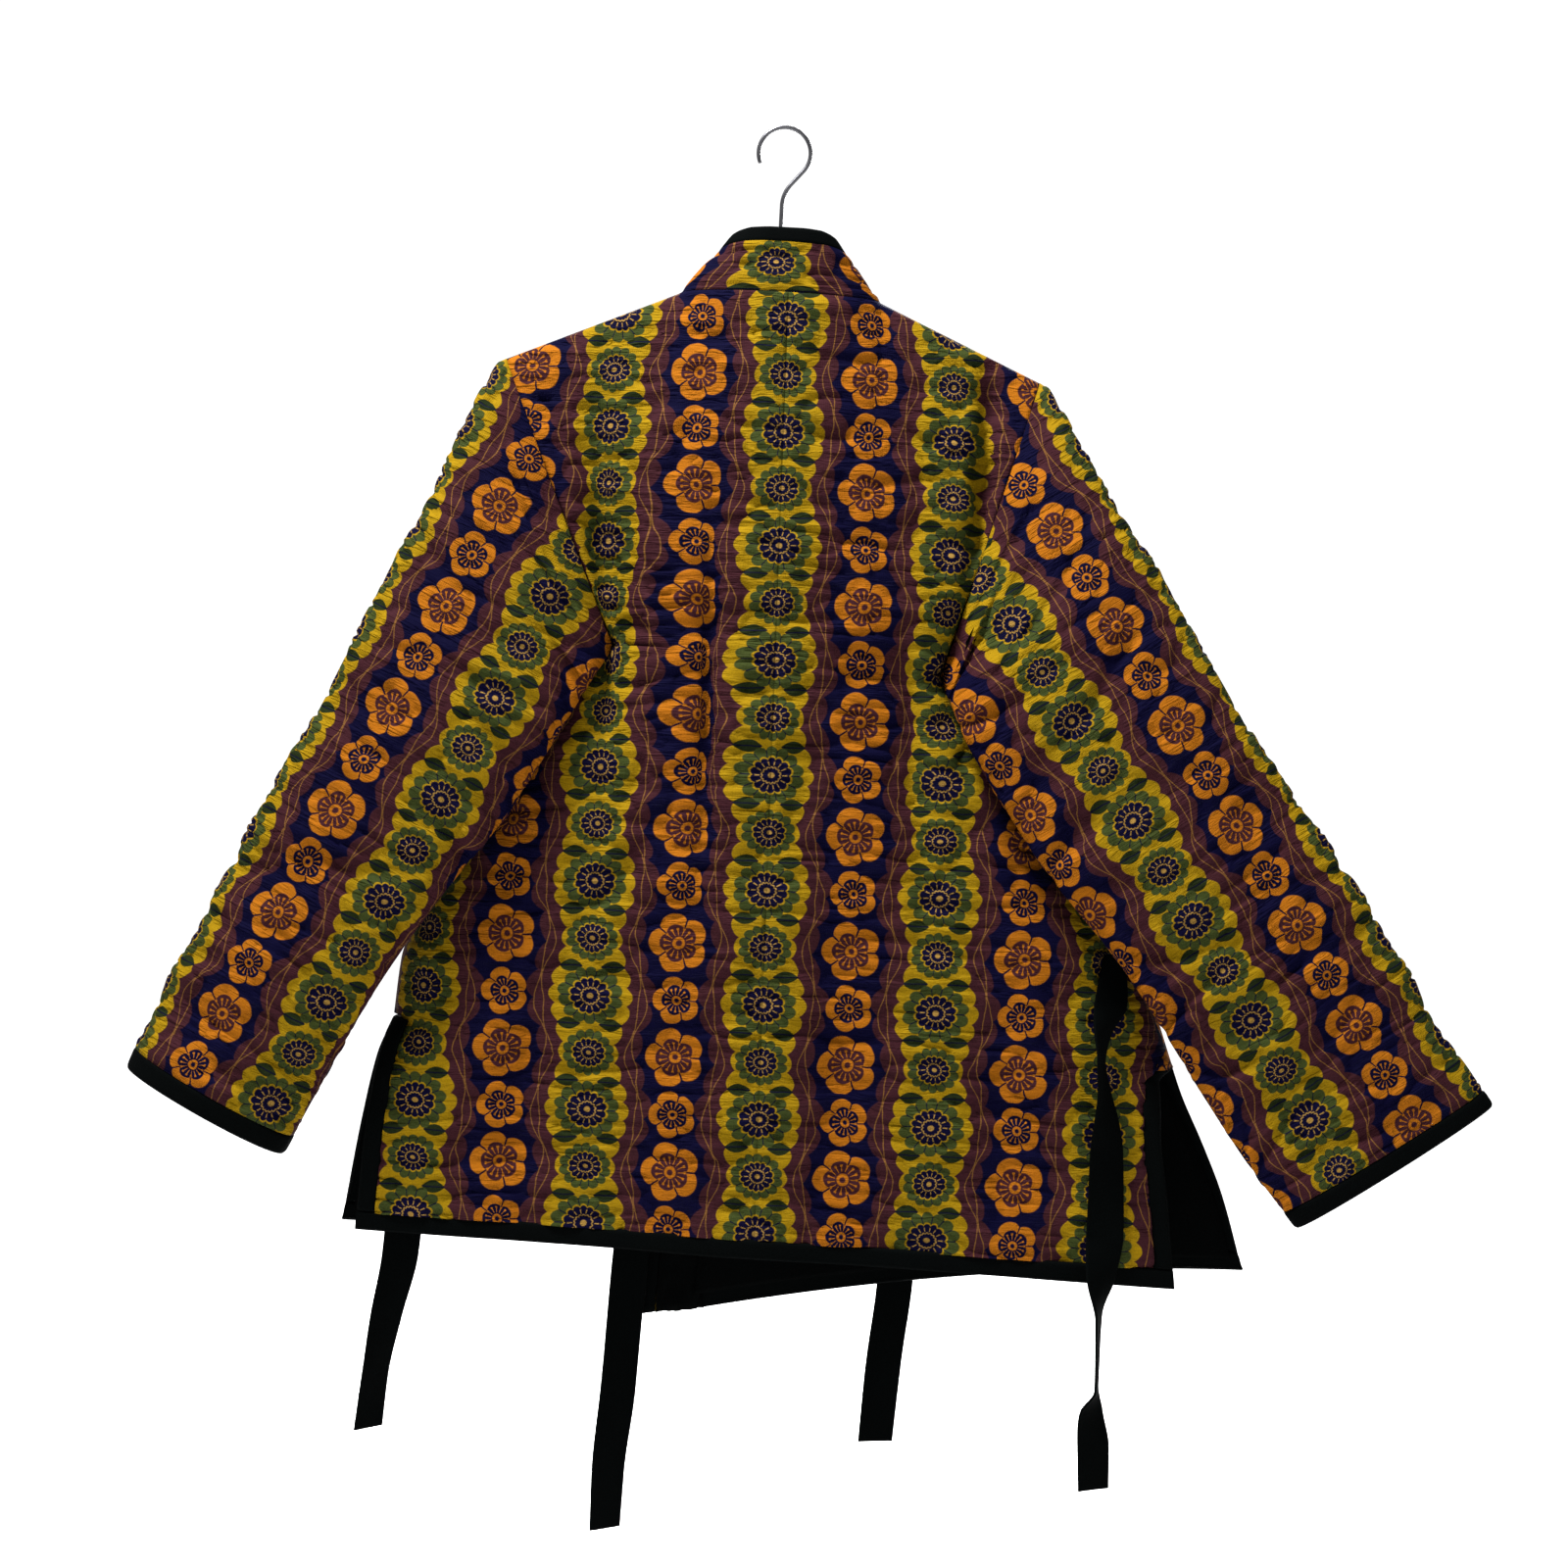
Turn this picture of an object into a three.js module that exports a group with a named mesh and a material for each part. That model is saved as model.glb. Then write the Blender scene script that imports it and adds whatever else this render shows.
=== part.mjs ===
// A padded hanten, a short wrap jacket, hanging on a wooden hanger with its back to -Y.
// Millimetres, +Z up, +X to the wearer's right hand. The origin is the inside top of the hanger's hook.
// Each cut piece of cloth is a wall of its own, and neighbouring pieces stop SEAM apart where they are sewn.
import * as THREE from "three";

// Cloth thicknesses and the room left at each seam
const PADDED = 4;
const LINING = 1.2;
const TAPE = 2.4;
const SEAM = 0.3;

// Widths of the black bindings and of the collar band
const COLLAR_WIDTH = 50;
const COLLAR_TRIM = 11;
const CUFF_BAND = 19;
const BACK_HEM_BAND = 16;
const FRONT_BAND = 14;

// The neck seam is level, and the shoulder seams slope down from its two ends to the sleeves
const NECK_Z = -129.5;
const NECK = { left: -74, right: 80, depth: 28, swell: 1.3, softens: 90 };
const SHOULDER = { left: { x: -204, z: -186.5 }, right: { x: 204, z: -184 } };
const ARMPIT = { left: { x: -111, z: -402 }, right: { x: 140, z: -412 } };
const ARMHOLE_DEPTH = 26;
const SQUARENESS = 0.8;

// The centre back seam leans a little to the right on its way down
const CENTRE_TOP = 9;
const CENTRE_LEAN = -0.0163;
const SLIT_Z = { left: -694, right: -702 };
const BACK_HEM_Z = -858;

// How far the cloth stands off the hanger's plane, by depth below the shoulder seam
const HANG = [
  { below: 0, out: 0 },
  { below: 1.5, out: 5 },
  { below: 5, out: 9 },
  { below: 14, out: 12 },
  { below: 60, out: 21 },
  { below: 130, out: 31 },
  { below: 250, out: 39 },
  { below: 450, out: 40 },
  { below: 640, out: 33 },
  { below: 780, out: 29 },
];

// Side seams from the armpit to the slit: across, and towards the front
const SIDE_SEAM = {
  left: [
    { z: -402, x: -111, y: 0 },
    { z: -412, x: -122, y: 10 },
    { z: -434, x: -146, y: 18 },
    { z: -470, x: -168, y: 21 },
    { z: -544, x: -210, y: 21 },
    { z: -607, x: -247, y: 19 },
    { z: -650, x: -263, y: 16 },
    { z: -694, x: -266, y: 12 },
  ],
  right: [
    { z: -412, x: 140, y: 0 },
    { z: -422, x: 149, y: 10 },
    { z: -445, x: 170, y: 18 },
    { z: -490, x: 203, y: 21 },
    { z: -540, x: 238, y: 21 },
    { z: -588, x: 277, y: 20 },
    { z: -640, x: 311, y: 17 },
    { z: -702, x: 335, y: 12 },
  ],
};

// Free edges below the slits: the binding's outer edge, and how far it has opened from the seam's line
const BACK_EDGE = {
  left: [
    { z: -694, x: -266, open: 0 },
    { z: -708, x: -270, open: 0.4 },
    { z: -740, x: -274, open: 0.85 },
    { z: -790, x: -278, open: 1 },
    { z: -853, x: -281, open: 1 },
  ],
  right: [
    { z: -702, x: 335, open: 0 },
    { z: -712, x: 323, open: 0.4 },
    { z: -745, x: 323, open: 0.85 },
    { z: -800, x: 330, open: 1 },
    { z: -866, x: 339, open: 1 },
  ],
};
const FRONT_EDGE = {
  left: [
    { z: -694, x: -266, open: 0 },
    { z: -725, x: -279, open: 0.5 },
    { z: -775, x: -289, open: 0.9 },
    { z: -856, x: -300, open: 1 },
  ],
  right: [
    { z: -702, x: 335, open: 0 },
    { z: -725, x: 345, open: 0.4 },
    { z: -760, x: 363, open: 0.8 },
    { z: -800, x: 381, open: 1 },
    { z: -859, x: 400, open: 1 },
  ],
};

// Where each front meets its collar band, with the band's tilt from level and its rise off the cloth
const FRONT_LINE = {
  left: [
    { z: -129.5, x: -74, tilt: 50, lift: 2 },
    { z: -142, x: -72, tilt: 43, lift: 13 },
    { z: -160, x: -67, tilt: 34, lift: 9 },
    { z: -200, x: -54, tilt: 23, lift: 3 },
    { z: -260, x: -35, tilt: 18, lift: 0 },
    { z: -540, x: 58, tilt: 14, lift: 0 },
    { z: -620, x: 74, tilt: 0, lift: 0 },
    { z: -866, x: 74, tilt: 0, lift: 0 },
  ],
  right: [
    { z: -129.5, x: 80, tilt: 50, lift: 2 },
    { z: -142, x: 78, tilt: 43, lift: 13 },
    { z: -160, x: 73, tilt: 34, lift: 9 },
    { z: -200, x: 61, tilt: 23, lift: 3 },
    { z: -260, x: 45, tilt: 18, lift: 0 },
    { z: -470, x: 6, tilt: 12, lift: 0 },
    { z: -560, x: 0, tilt: 4, lift: 0 },
    { z: -905, x: -9, tilt: -8, lift: 0 },
  ],
};

// How far a front's hem rises between its two corners
const HEM_RISE = { left: 2, right: 7 };

// The wearer's left front lies over the right one
const OVERLAP = { rise: 9, from: -190, to: -60, below: 60 };

// The collar's free edge round the back of the neck, beside its seam
const NECK_ROWS = [
  { x: -62, edgeX: -36, edgeY: -13, edgeZ: -83 },
  { x: -38, edgeX: -21, edgeY: -20, edgeZ: -80 },
  { x: -10, edgeX: -5, edgeY: -23, edgeZ: -79.5 },
  { x: 20, edgeX: 15, edgeY: -23, edgeZ: -79.5 },
  { x: 47, edgeX: 30, edgeY: -20, edgeZ: -80 },
  { x: 69, edgeX: 43, edgeY: -13, edgeZ: -83 },
];

// Sleeves: sections from armhole to cuff, by upper and lower points, middle and half depth in Y
const SLEEVE = {
  left: [
    { at: 0, upX: -204, upZ: -186.5, lowX: -111, lowZ: -402, y: 0, half: 26 },
    { at: 0.05, upX: -216, upZ: -204, lowX: -113, lowZ: -407, y: -11, half: 26 },
    { at: 0.12, upX: -227.5, upZ: -231, lowX: -116, lowZ: -415, y: -21, half: 27 },
    { at: 0.25, upX: -256.5, upZ: -304.5, lowX: -124, lowZ: -431, y: -33, half: 27 },
    { at: 0.37, upX: -290.5, upZ: -379.5, lowX: -141, lowZ: -463, y: -43, half: 26 },
    { at: 0.5, upX: -324.5, upZ: -458.5, lowX: -183, lowZ: -538, y: -50, half: 25 },
    { at: 0.62, upX: -361.5, upZ: -529.5, lowX: -232, lowZ: -602, y: -51, half: 26 },
    { at: 0.75, upX: -397.5, upZ: -604, lowX: -275, lowZ: -672, y: -48, half: 30 },
    { at: 0.88, upX: -432.5, upZ: -678, lowX: -312, lowZ: -739, y: -42, half: 33 },
    { at: 1, upX: -456, upZ: -737, lowX: -336.5, lowZ: -794, y: -36, half: 35 },
  ],
  right: [
    { at: 0, upX: 204, upZ: -184, lowX: 140, lowZ: -412, y: 0, half: 26 },
    { at: 0.05, upX: 219.5, upZ: -203, lowX: 141.5, lowZ: -417, y: -11, half: 26 },
    { at: 0.1, upX: 232.5, upZ: -226.5, lowX: 143, lowZ: -424, y: -20, half: 27 },
    { at: 0.2, upX: 265.5, upZ: -280, lowX: 148, lowZ: -436, y: -33, half: 27 },
    { at: 0.3, upX: 297.5, upZ: -329.5, lowX: 156, lowZ: -456, y: -43, half: 26 },
    { at: 0.45, upX: 362, upZ: -429, lowX: 212, lowZ: -540, y: -51, half: 25 },
    { at: 0.6, upX: 434, upZ: -528, lowX: 293.5, lowZ: -631, y: -52, half: 23 },
    { at: 0.75, upX: 490, upZ: -603, lowX: 341, lowZ: -700, y: -50, half: 21 },
    { at: 0.88, upX: 534.5, upZ: -668, lowX: 388.5, lowZ: -761.5, y: -46, half: 19 },
    { at: 1, upX: 567, upZ: -713, lowX: 427.5, lowZ: -810.5, y: -42, half: 18 },
  ],
};

// Large folds of the back: middle, lean, half length and half width, and how deep they sink
const BACK_FOLDS = [
  { x: 163, z: -300, lean: 0.02, length: 115, width: 9, deep: 22 },
  { x: -121, z: -335, lean: -0.1, length: 110, width: 18, deep: 20 },
  { x: -36, z: -440, lean: -0.02, length: 110, width: 12, deep: 9 },
  { x: -97, z: -578, lean: 0.7, length: 45, width: 13, deep: 6 },
  { x: 118, z: -470, lean: -0.12, length: 90, width: 15, deep: 8 },
  { x: 70, z: -640, lean: -0.1, length: 120, width: 17, deep: 5 },
  { x: -150, z: -700, lean: 0.1, length: 110, width: 20, deep: 6 },
  { x: 200, z: -730, lean: -0.1, length: 100, width: 22, deep: 6 },
];

// Large folds of the two fronts, kept out of the overlap
const FRONT_FOLDS = [
  { x: -140, z: -330, lean: 0.12, length: 120, width: 16, deep: 12 },
  { x: -120, z: -560, lean: 0.15, length: 150, width: 18, deep: 8 },
  { x: -205, z: -740, lean: 0.1, length: 110, width: 22, deep: 7 },
  { x: 160, z: -330, lean: -0.05, length: 120, width: 14, deep: 13 },
  { x: 185, z: -560, lean: -0.2, length: 120, width: 20, deep: 8 },
  { x: 285, z: -760, lean: -0.2, length: 110, width: 24, deep: 8 },
];

// Folds of the sleeves: place along and round, spread along and round, and depth
const SLEEVE_FOLDS = {
  left: [
    { at: 0.2, round: 2.35, along: 0.05, spread: 0.5, deep: 9 },
    { at: 0.33, round: 1.2, along: 0.05, spread: 0.6, deep: 5 },
    { at: 0.47, round: 0.9, along: 0.04, spread: 0.5, deep: 7 },
    { at: 0.58, round: 1.9, along: 0.05, spread: 0.6, deep: 5 },
    { at: 0.7, round: 0.8, along: 0.045, spread: 0.5, deep: 7 },
    { at: 0.88, round: 1.0, along: 0.04, spread: 0.5, deep: 7 },
    { at: 0.4, round: 4.6, along: 0.06, spread: 0.7, deep: -6 },
  ],
  right: [
    { at: 0.16, round: 1.9, along: 0.05, spread: 0.6, deep: 7 },
    { at: 0.4, round: 2.4, along: 0.05, spread: 0.5, deep: 6 },
    { at: 0.55, round: 1.0, along: 0.05, spread: 0.5, deep: 4 },
    { at: 0.72, round: 2.3, along: 0.035, spread: 0.5, deep: 7 },
    { at: 0.83, round: 2.2, along: 0.035, spread: 0.5, deep: 6 },
    { at: 0.5, round: 4.7, along: 0.07, spread: 0.7, deep: -5 },
  ],
};

// Ties: the middle line with the width that shows from behind, so the rest of the tape is turned edge-on
const TIE_WIDTH = 28;
const TIES = {
  tie_inner_left: [
    { z: -612, x: -229, y: 21.8, shows: 27.4 },
    { z: -640, x: -231, y: 17, shows: 28 },
    { z: -700, x: -235, y: 9, shows: 28 },
    { z: -800, x: -246, y: 2, shows: 28 },
    { z: -875, x: -250, y: 1, shows: 27 },
    { z: -925, x: -259, y: 3, shows: 22 },
    { z: -970, x: -265.5, y: 4, shows: 17 },
    { z: -1010, x: -268, y: 3, shows: 18 },
  ],
  tie_right_front: [
    { z: -672, x: -48, y: 31.2, shows: 28 },
    { z: -700, x: -52, y: 27.5, shows: 28 },
    { z: -800, x: -70, y: 20, shows: 27 },
    { z: -875, x: -76.5, y: 16, shows: 27 },
    { z: -975, x: -79.5, y: 15, shows: 27 },
    { z: -1040, x: -83.5, y: 13, shows: 24 },
    { z: -1080, x: -83.5, y: 12, shows: 22 },
  ],
  tie_left_front: [
    { z: -604, x: 114, y: 50.5, shows: 28 },
    { z: -680, x: 122.5, y: 50, shows: 28 },
    { z: -780, x: 129, y: 48, shows: 28 },
    { z: -875, x: 131, y: 46, shows: 28 },
    { z: -950, x: 124, y: 44, shows: 28 },
    { z: -1010, x: 121, y: 43, shows: 27 },
  ],
  tie_outer_right: [
    { z: -616, x: 284, y: -12, shows: 19.5 },
    { z: -630, x: 282, y: -22, shows: 22 },
    { z: -655, x: 279.5, y: -32, shows: 26 },
    { z: -677, x: 274, y: -43.5, shows: 14 },
    { z: -696, x: 273.5, y: -47.5, shows: 8 },
    { z: -716, x: 276.5, y: -47, shows: 11 },
    { z: -740, x: 279.5, y: -46, shows: 20 },
    { z: -765, x: 281, y: -42, shows: 26 },
    { z: -830, x: 283, y: -39, shows: 28 },
    { z: -858, x: 282, y: -43, shows: 23 },
    { z: -888, x: 282, y: -43, shows: 7 },
    { z: -940, x: 283, y: -42, shows: 5 },
    { z: -960, x: 281, y: -40, shows: 16 },
    { z: -985, x: 284, y: -38, shows: 24 },
    { z: -1018, x: 286, y: -37, shows: 24 },
  ],
};

// The hanger: a flat shaped bar with a hump for the hook's stem, and a wire hook
const BAR = { half: 191, thick: 10, edge: 3, top: -103, slope: 0.438, deepMiddle: 30, deepEnd: 17 };
const HUMP = { top: -76, half: 8, foot: 26 };
const HOOK = { wire: 3.2, radius: 20 };

const COLOURS = { print: 0x4a2f38, black: 0x0b0b0d, wood: 0xb98a5a, steel: 0xb8babd };

// Value of a column at a place in a table, on a smooth curve that never overshoots its rows
function reading(rows, place, column, at) {
  const last = rows.length - 1;
  const down = rows[last][place] < rows[0][place] ? -1 : 1;
  if ((at - rows[0][place]) * down <= 0) return rows[0][column];
  if ((at - rows[last][place]) * down >= 0) return rows[last][column];
  const slope = (k) => (rows[k + 1][column] - rows[k][column]) / (rows[k + 1][place] - rows[k][place]);
  const tangent = (k) => {
    if (k === 0) return slope(0);
    if (k === last) return slope(last - 1);
    const before = slope(k - 1);
    const after = slope(k);
    return before * after <= 0 ? 0 : (2 * before * after) / (before + after);
  };
  let i = 0;
  while ((at - rows[i + 1][place]) * down > 0) i += 1;
  const span = rows[i + 1][place] - rows[i][place];
  const t = (at - rows[i][place]) / span;
  const start = rows[i][column] * (1 + 2 * t) + span * tangent(i) * t;
  const end = rows[i + 1][column] * (3 - 2 * t) - span * tangent(i + 1) * (1 - t);
  return start * (1 - t) * (1 - t) + end * t * t;
}

const mix = (a, b, t) => a + (b - a) * t;
const ease = (t) => {
  const c = Math.min(1, Math.max(0, t));
  return c * c * (3 - 2 * c);
};
const vec = (x, y, z) => new THREE.Vector3(x, y, z);
const spaced = (from, to, count) => Array.from({ length: count + 1 }, (_, i) => mix(from, to, i / count));
const centreX = (z) => CENTRE_TOP + CENTRE_LEAN * (z - NECK_Z);

// Height of the shoulder seam, carried on towards the middle of the neck
function shoulderZ(x) {
  const side = x < centreX(NECK_Z) ? "left" : "right";
  const slope = (SHOULDER[side].z - NECK_Z) / (SHOULDER[side].x - NECK[side]);
  return NECK_Z + slope * (x - NECK[side]);
}

// How far the neck seam stands behind the hanger's plane, and the wider, softer swell of the back below it
function neckDepth(x, below) {
  const middle = (NECK.left + NECK.right) / 2;
  const share = (x - middle) / ((NECK.right - NECK.left) / 2);
  const seam = NECK.depth * Math.sqrt(Math.max(0, 1 - share ** 2));
  const swell = NECK.depth * Math.exp(-((share / NECK.swell) ** 2));
  return mix(seam, swell, ease(below / NECK.softens));
}

function folded(folds, x, z) {
  let sunk = 0;
  for (const f of folds) {
    const across = (x - f.x - f.lean * (z - f.z)) / f.width;
    const along = (z - f.z) / f.length;
    sunk += f.deep * Math.exp(-across * across - along * along);
  }
  return sunk;
}

// A point of the armhole seam: angle 0 at the shoulder, half a turn at the armpit, the back first
function armholePoint(side, angle, inset, beyond) {
  const top = SHOULDER[side];
  const low = ARMPIT[side];
  const half = Math.hypot(top.x - low.x, top.z - low.z) / 2;
  const alongX = (top.x - low.x) / (2 * half);
  const alongZ = (top.z - low.z) / (2 * half);
  const outward = side === "left" ? -1 : 1;
  const reach = (half - inset) * Math.cos(angle);
  const sine = Math.sin(angle);
  const round = Math.sign(sine) * Math.abs(sine) ** SQUARENESS;
  return vec(
    (top.x + low.x) / 2 + alongX * reach + outward * alongZ * beyond,
    -(ARMHOLE_DEPTH - inset) * round,
    (top.z + low.z) / 2 + alongZ * reach - outward * alongX * beyond,
  );
}

// The cloth's stand-off at a share of the way from the middle to the side
const closing = (share) => Math.sqrt(Math.max(0, 1 - Math.min(1, Math.max(0, share)) ** 6));

// Side edge of a panel at v: 0 to 1 down the armhole, 1 to 2 down the side seam, 2 to 3 down the slit
function sideEdge(side, face, v) {
  if (v <= 1) {
    const p = armholePoint(side, Math.PI * v, 0, -SEAM / 2);
    return { x: p.x, y: face < 0 ? p.y : -p.y, z: p.z };
  }
  if (v <= 2) {
    const z = mix(ARMPIT[side].z, SLIT_Z[side], v - 1);
    return { x: reading(SIDE_SEAM[side], "z", "x", z), z };
  }
  const edges = face < 0 ? BACK_EDGE[side] : FRONT_EDGE[side];
  const bottom = edges[edges.length - 1].z;
  const z = mix(SLIT_Z[side], bottom, v - 2);
  return { x: reading(edges, "z", "x", z), z };
}

// Depth below the armpits: closed at the side seam, and opening flat below the slit
function lowerY(side, face, x, z, standing) {
  const edges = face < 0 ? BACK_EDGE[side] : FRONT_EDGE[side];
  const onSeam = z >= SLIT_Z[side];
  const seamZ = Math.max(z, SLIT_Z[side]);
  const edgeX = onSeam ? reading(SIDE_SEAM[side], "z", "x", z) : reading(edges, "z", "x", z);
  const open = onSeam ? 0 : reading(edges, "z", "open", z);
  const share = (x - centreX(z)) / (edgeX - centreX(z));
  const shut = mix(reading(SIDE_SEAM[side], "z", "y", seamZ), face * standing, closing(share));
  const free = face * standing * (1 - 0.15 * Math.max(0, share) ** 4);
  return mix(shut, free, open);
}

// Height of the row at v on the middle of the garment, ending at the given hem
function rowZ(side, v, hem) {
  const drop = (1 - Math.cos(Math.PI * Math.min(1, v))) / 2;
  if (v <= 1) return mix(NECK_Z, ARMPIT[side].z, drop);
  if (v <= 2) return mix(ARMPIT[side].z, SLIT_Z[side], v - 1);
  return mix(SLIT_Z[side], hem, v - 2);
}

// The back: u from the centre seam to the side, v down the side
function backPoint(side, u, v) {
  const outward = side === "left" ? -1 : 1;
  const edge = sideEdge(side, -1, v);
  const middleZ = rowZ(side, v, BACK_HEM_Z);
  const middleX = centreX(middleZ) + (outward * SEAM) / 2;
  const x = mix(middleX, edge.x, u);
  const topX = mix(centreX(NECK_Z), SHOULDER[side].x, u);
  const corner = Math.max(0, (topX - NECK[side]) * outward);
  const slope = (SHOULDER[side].z - NECK_Z) / (SHOULDER[side].x - NECK[side]);
  const raised = NECK_Z + slope * corner * outward - mix(NECK_Z, SHOULDER[side].z, u);
  const drop = (1 - Math.cos(Math.PI * Math.min(1, v))) / 2;
  const z = mix(middleZ, edge.z, u) + raised * (1 - drop) ** 2;
  const top = (x - NECK[side]) * outward > 0 ? shoulderZ(x) : NECK_Z;
  const below = Math.max(0, top - z);
  const standing = Math.hypot(neckDepth(x, below), reading(HANG, "below", "out", below));
  const y = v <= 1 ? mix(edge.y, -standing, closing(u)) : lowerY(side, -1, x, z, standing);
  const fade = (1 - u ** 14) * ease(below / 40);
  return vec(x, y + folded(BACK_FOLDS, x, z) * fade - SEAM / 2, z);
}

// Depth of a front at any place beside its panel, with the left one raised over the right
function frontY(side, x, z, v) {
  const edge = sideEdge(side, 1, v);
  const share = (x - centreX(z)) / (edge.x - centreX(z));
  const below = Math.max(0, shoulderZ(x) - z);
  const standing = reading(HANG, "below", "out", below);
  const y = v <= 1 ? mix(edge.y, standing, closing(share)) : lowerY(side, 1, x, z, standing);
  const fade = (1 - Math.max(0, share) ** 14) * ease(below / 40);
  const over = ease((x - OVERLAP.from) / (OVERLAP.to - OVERLAP.from)) * ease(below / OVERLAP.below);
  const rise = side === "left" ? OVERLAP.rise * over : 0;
  return y - folded(FRONT_FOLDS, x, z) * fade + rise + SEAM / 2;
}

// A front: u from the collar seam to the side, v down the side
function frontPoint(side, u, v) {
  const line = FRONT_LINE[side];
  const edge = sideEdge(side, 1, v);
  const lineZ = rowZ(side, v, line[line.length - 1].z);
  const x = mix(reading(line, "z", "x", lineZ), edge.x, u);
  const rise = 4 * HEM_RISE[side] * u * (1 - u) * ease(v - 2);
  const z = mix(lineZ, edge.z, u) + rise;
  return vec(x, frontY(side, x, z, v), z);
}

const panelPoint = (side, face, u, v) => (face < 0 ? backPoint(side, u, v) : frontPoint(side, u, v));

// Outward direction of a panel's surface
function panelNormal(side, face, u, v) {
  const step = 0.003;
  const to = (a, b) => panelPoint(side, face, Math.min(1, Math.max(0, a)), Math.min(3, Math.max(0, b)));
  const across = to(u + step, v).sub(to(u - step, v));
  const down = to(u, v + step).sub(to(u, v - step));
  return across.cross(down).normalize().multiplyScalar(side === "left" ? -face : face);
}

// A point of a panel at a depth under its surface, kept in the seam's plane along every seam
function panelInner(side, face, u, v, depth) {
  const p = panelPoint(side, face, u, v);
  if (u >= 1 && v <= 1) {
    const q = armholePoint(side, Math.PI * v, depth, -SEAM / 2);
    return vec(q.x, (face < 0 ? q.y : -q.y) + (face * SEAM) / 2, q.z);
  }
  const n = panelNormal(side, face, u, v);
  const q = p.clone().addScaledVector(n, -depth);
  if (v <= 0) {
    const inNeck = p.x > NECK.left + 1 && p.x < NECK.right - 1;
    if (inNeck) q.z = p.z;
    else q.set(p.x, p.y, p.z - depth);
  } else if (u >= 1 && v <= 2) {
    q.y = p.y;
  } else if (u <= 0 && face < 0) {
    q.x = p.x;
  }
  if (v >= 2 && v < 2.01) q.z = p.z;
  if (v > 2 && v < 2.01 && u >= 1) q.y = p.y;
  return q;
}

// A closed mesh from an outer and an inner grid of points, open or joined round on itself
function closedWall(outer, inner, joined) {
  const rows = outer.length;
  const columns = outer[0].length;
  const positions = [];
  for (const grid of [outer, inner])
    for (const row of grid)
      for (const p of row) positions.push(p.x, p.y, p.z);
  const at = (layer, i, j) => layer * rows * columns + i * columns + (j % columns);
  const index = [];
  const quad = (a, b, c, d) => index.push(a, b, c, a, c, d);
  const last = joined ? columns : columns - 1;
  for (let i = 0; i < rows - 1; i += 1)
    for (let j = 0; j < last; j += 1) {
      quad(at(0, i, j), at(0, i, j + 1), at(0, i + 1, j + 1), at(0, i + 1, j));
      quad(at(1, i, j), at(1, i + 1, j), at(1, i + 1, j + 1), at(1, i, j + 1));
    }
  for (let j = 0; j < last; j += 1) {
    quad(at(0, 0, j), at(1, 0, j), at(1, 0, j + 1), at(0, 0, j + 1));
    quad(at(0, rows - 1, j), at(0, rows - 1, j + 1), at(1, rows - 1, j + 1), at(1, rows - 1, j));
  }
  if (!joined)
    for (let i = 0; i < rows - 1; i += 1) {
      quad(at(0, i, 0), at(0, i + 1, 0), at(1, i + 1, 0), at(1, i, 0));
      quad(at(0, i, last), at(1, i, last), at(1, i + 1, last), at(0, i + 1, last));
    }
  const geometry = new THREE.BufferGeometry();
  geometry.setAttribute("position", new THREE.Float32BufferAttribute(positions, 3));
  if (volumeOf(positions, index) < 0)
    for (let i = 0; i < index.length; i += 3) [index[i + 1], index[i + 2]] = [index[i + 2], index[i + 1]];
  geometry.setIndex(index);
  return geometry;
}

function volumeOf(positions, index) {
  const corner = (k) => vec(positions[3 * k], positions[3 * k + 1], positions[3 * k + 2]);
  let sum = 0;
  for (let i = 0; i < index.length; i += 3)
    sum += corner(index[i]).dot(corner(index[i + 1]).cross(corner(index[i + 2]))) / 6;
  return sum;
}

const hanten = new THREE.Group();
hanten.name = "hanten";
function add(name, geometry, colour, roughness = 0.9, metalness = 0) {
  const material = new THREE.MeshStandardMaterial({ color: colour, roughness, metalness });
  geometry.computeVertexNormals();
  const mesh = new THREE.Mesh(geometry, material);
  mesh.name = name;
  hanten.add(mesh);
}

// Rows down a panel, and the shares across it
const ARM_ROWS = spaced(0, 1, 13);
const SEAM_ROWS = [1.08, 1.18, 1.3, 1.43, 1.57, 1.72, 1.87, 2];
const SLIT_ROWS = [0.002, 0.2, 0.42, 0.65];
const ACROSS_BACK = {
  left: [0, 0.1, 0.16, 0.21, 0.26, 0.32, 0.3915, 0.5, 0.62, 0.72, 0.8, 0.87, 0.93, 0.975, 1],
  right: [0, 0.12, 0.24, 0.366, 0.48, 0.58, 0.66, 0.73, 0.79, 0.85, 0.9, 0.94, 0.975, 1],
};
const ACROSS_FRONT = [0, 0.13, 0.27, 0.4, 0.52, 0.62, 0.71, 0.79, 0.86, 0.92, 0.97, 1];

// Share of v taken by the hem's band, and share of u taken by the slit's band
const hemShare = (side, face) => {
  const edges = face < 0 ? BACK_EDGE[side] : FRONT_EDGE[side];
  const tall = face < 0 ? BACK_HEM_BAND : FRONT_BAND;
  return tall / (SLIT_Z[side] - edges[edges.length - 1].z);
};
const slitShare = (side, face, v) => {
  const across = Math.abs(panelPoint(side, face, 1, v).x - panelPoint(side, face, 0, v).x);
  return FRONT_BAND / across;
};

// A wall over part of a panel: columns(v) lists the shares across, and the depths are under the surface
function panelWall(side, face, rows, columns, from, to) {
  const grid = (depth) => rows.map((v) => columns(v).map((u) =>
    depth === 0 ? panelPoint(side, face, u, v) : panelInner(side, face, u, v, depth)));
  return closedWall(grid(from), grid(to), false);
}

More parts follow.
